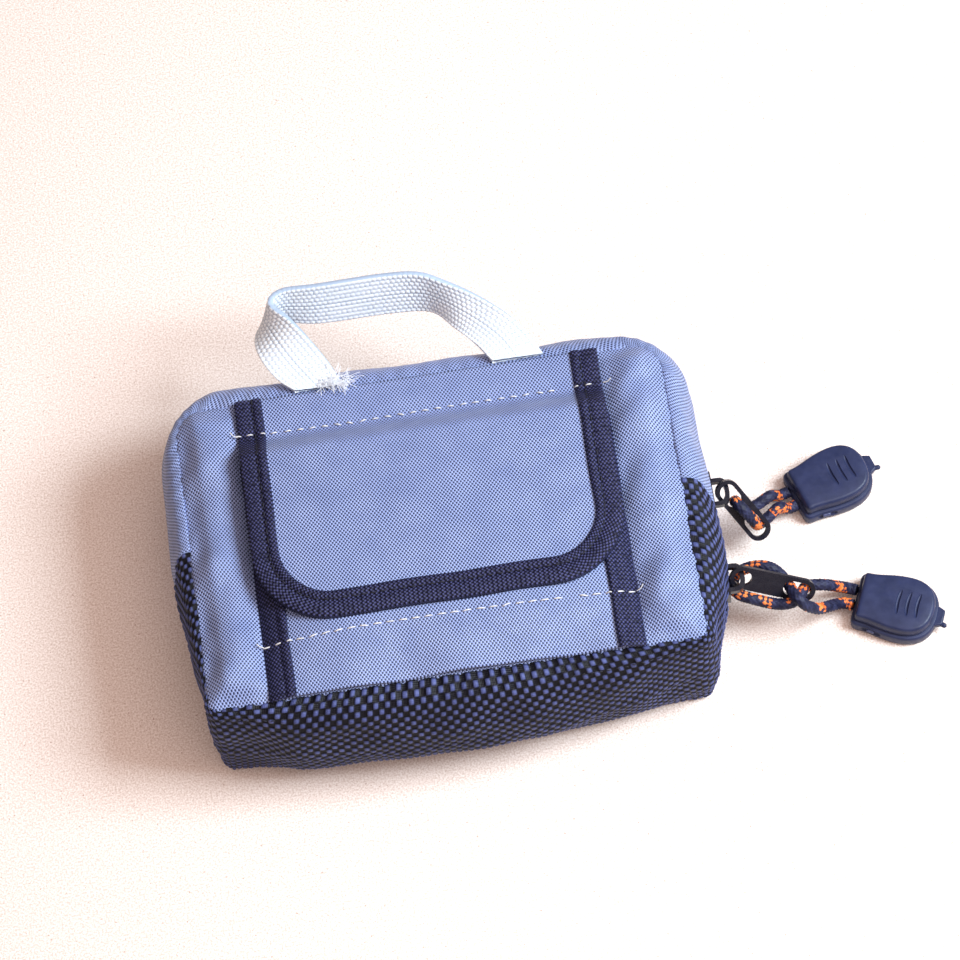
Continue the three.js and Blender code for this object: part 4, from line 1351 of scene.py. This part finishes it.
def flat_lug(name):
    """The flat lug at a cord end's broad end, narrower outside than in."""
    plan = [(11.2, -3.3), (13.7, -2.2), (13.7, 2.2), (11.2, 3.3)]
    points = [(x, y, z) for z in (2.3, 4.3) for x, y in plan]
    faces = [(3, 2, 1, 0), (4, 5, 6, 7), (0, 1, 5, 4), (1, 2, 6, 5), (2, 3, 7, 6), (3, 0, 4, 7)]
    piece = mesh_object(name, points, faces)
    rounding = piece.modifiers.new("edges", "BEVEL")
    rounding.width = 0.45 * MM
    rounding.segments = 4
    return piece


def add_cord_end(name):
    """A cord end in two mouldings: a base with a rim and a domed cap with three grooves across it."""
    base = moulded(f"{name}_end_base", [
        (0.25, 1.0), (0.45, 0.4), (0.95, 0.08), (2, 0.0), (3.6, 0.0), (4.2, 0.1), (4.55, 0.4), (4.65, 0.8),
    ])
    slot = bar("slot", (-8.8, -9.0, 3.1), (-2.4, -9.9, 3.1), 1.3)
    mouth = bar("mouth", (-12.9, -3.4, 3.8), (-12.9, 3.4, 3.8), 2.0)
    cut(base, [slot, mouth])
    cap = moulded(f"{name}_end_cap", [
        (4.6, 1.6), (4.75, 1.2), (5.2, 1.05), (6.6, 1.1), (7.5, 1.25), (8.0, 1.5), (8.25, 1.85), (8.36, 2.3),
    ])
    cut(cap, [groove(x) for x in (0.4, 3.2, 6.0)])
    inset = bar(f"{name}_end_slot_bar", (-7.0, -8.3, 3.1), (-4.4, -8.7, 3.1), 0.6)
    lug = flat_lug(f"{name}_end_lug")
    nub = bar(f"{name}_end_nub", (12.6, -1.6, 3.3), (15.0, -2.3, 3.5), 0.75)
    insert = noisy(f"{name}_insert", (0.03, 0.04, 0.11), (0.06, 0.07, 0.16), 500, 0.4)
    end, axis, side = cord_end_axes(name)
    turn = Matrix((axis, side, (0, 0, 1))).transposed().to_4x4()
    place = Matrix.Translation(end * MM) @ turn
    for piece, nodes, look in (
        (base, [f"{name}_cord_end_base"], None), (cap, [f"{name}_cord_end_cap"], None), (inset, [], insert),
        (lug, [], None), (nub, [], None),
    ):
        piece.data.transform(place)
        piece.data.shade_smooth()
        piece.data.set_sharp_from_angle(angle=math.radians(32))
        dress(piece, "cord_end", f"{name}_puller", nodes, look)


def finish_metal():
    """The sliders and tabs keep their CAD shape, with their edges rounded."""
    for name in ("upper", "lower"):
        for node in (f"{name}_slider", f"{name}_pull_tab"):
            piece = next(o for o in bpy.context.scene.objects if o.get("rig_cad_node") == node)
            piece.data.materials.clear()
            piece.data.materials.append(LOOKS["slider_metal"])
            bevel = piece.modifiers.new("edges", "BEVEL")
            bevel.width = 0.25 * MM
            bevel.segments = 3
            bevel.angle_limit = math.radians(35)
            bevel.harden_normals = False


# ---------------------------------------------------------------- build

add_camera()
add_studio()
for cord_name in ("upper", "lower"):
    add_cord(cord_name)
for half_name in ("rear", "front"):
    add_wall(f"{half_name}_gusset_cloth", half_name, True, f"{half_name}_gusset")
    add_wall(f"{half_name}_bottom_cloth", half_name, False, f"{half_name}_bottom")
    add_lining(half_name)
    add_zip(half_name)
add_cover("front_cover", "front")
add_cover("back_cover", "rear")
add_pocket()
add_flap()
add_stitches()
add_handle()
for cord_name in ("upper", "lower"):
    add_cord_end(cord_name)
finish_metal()

bpy.context.view_layer.update()
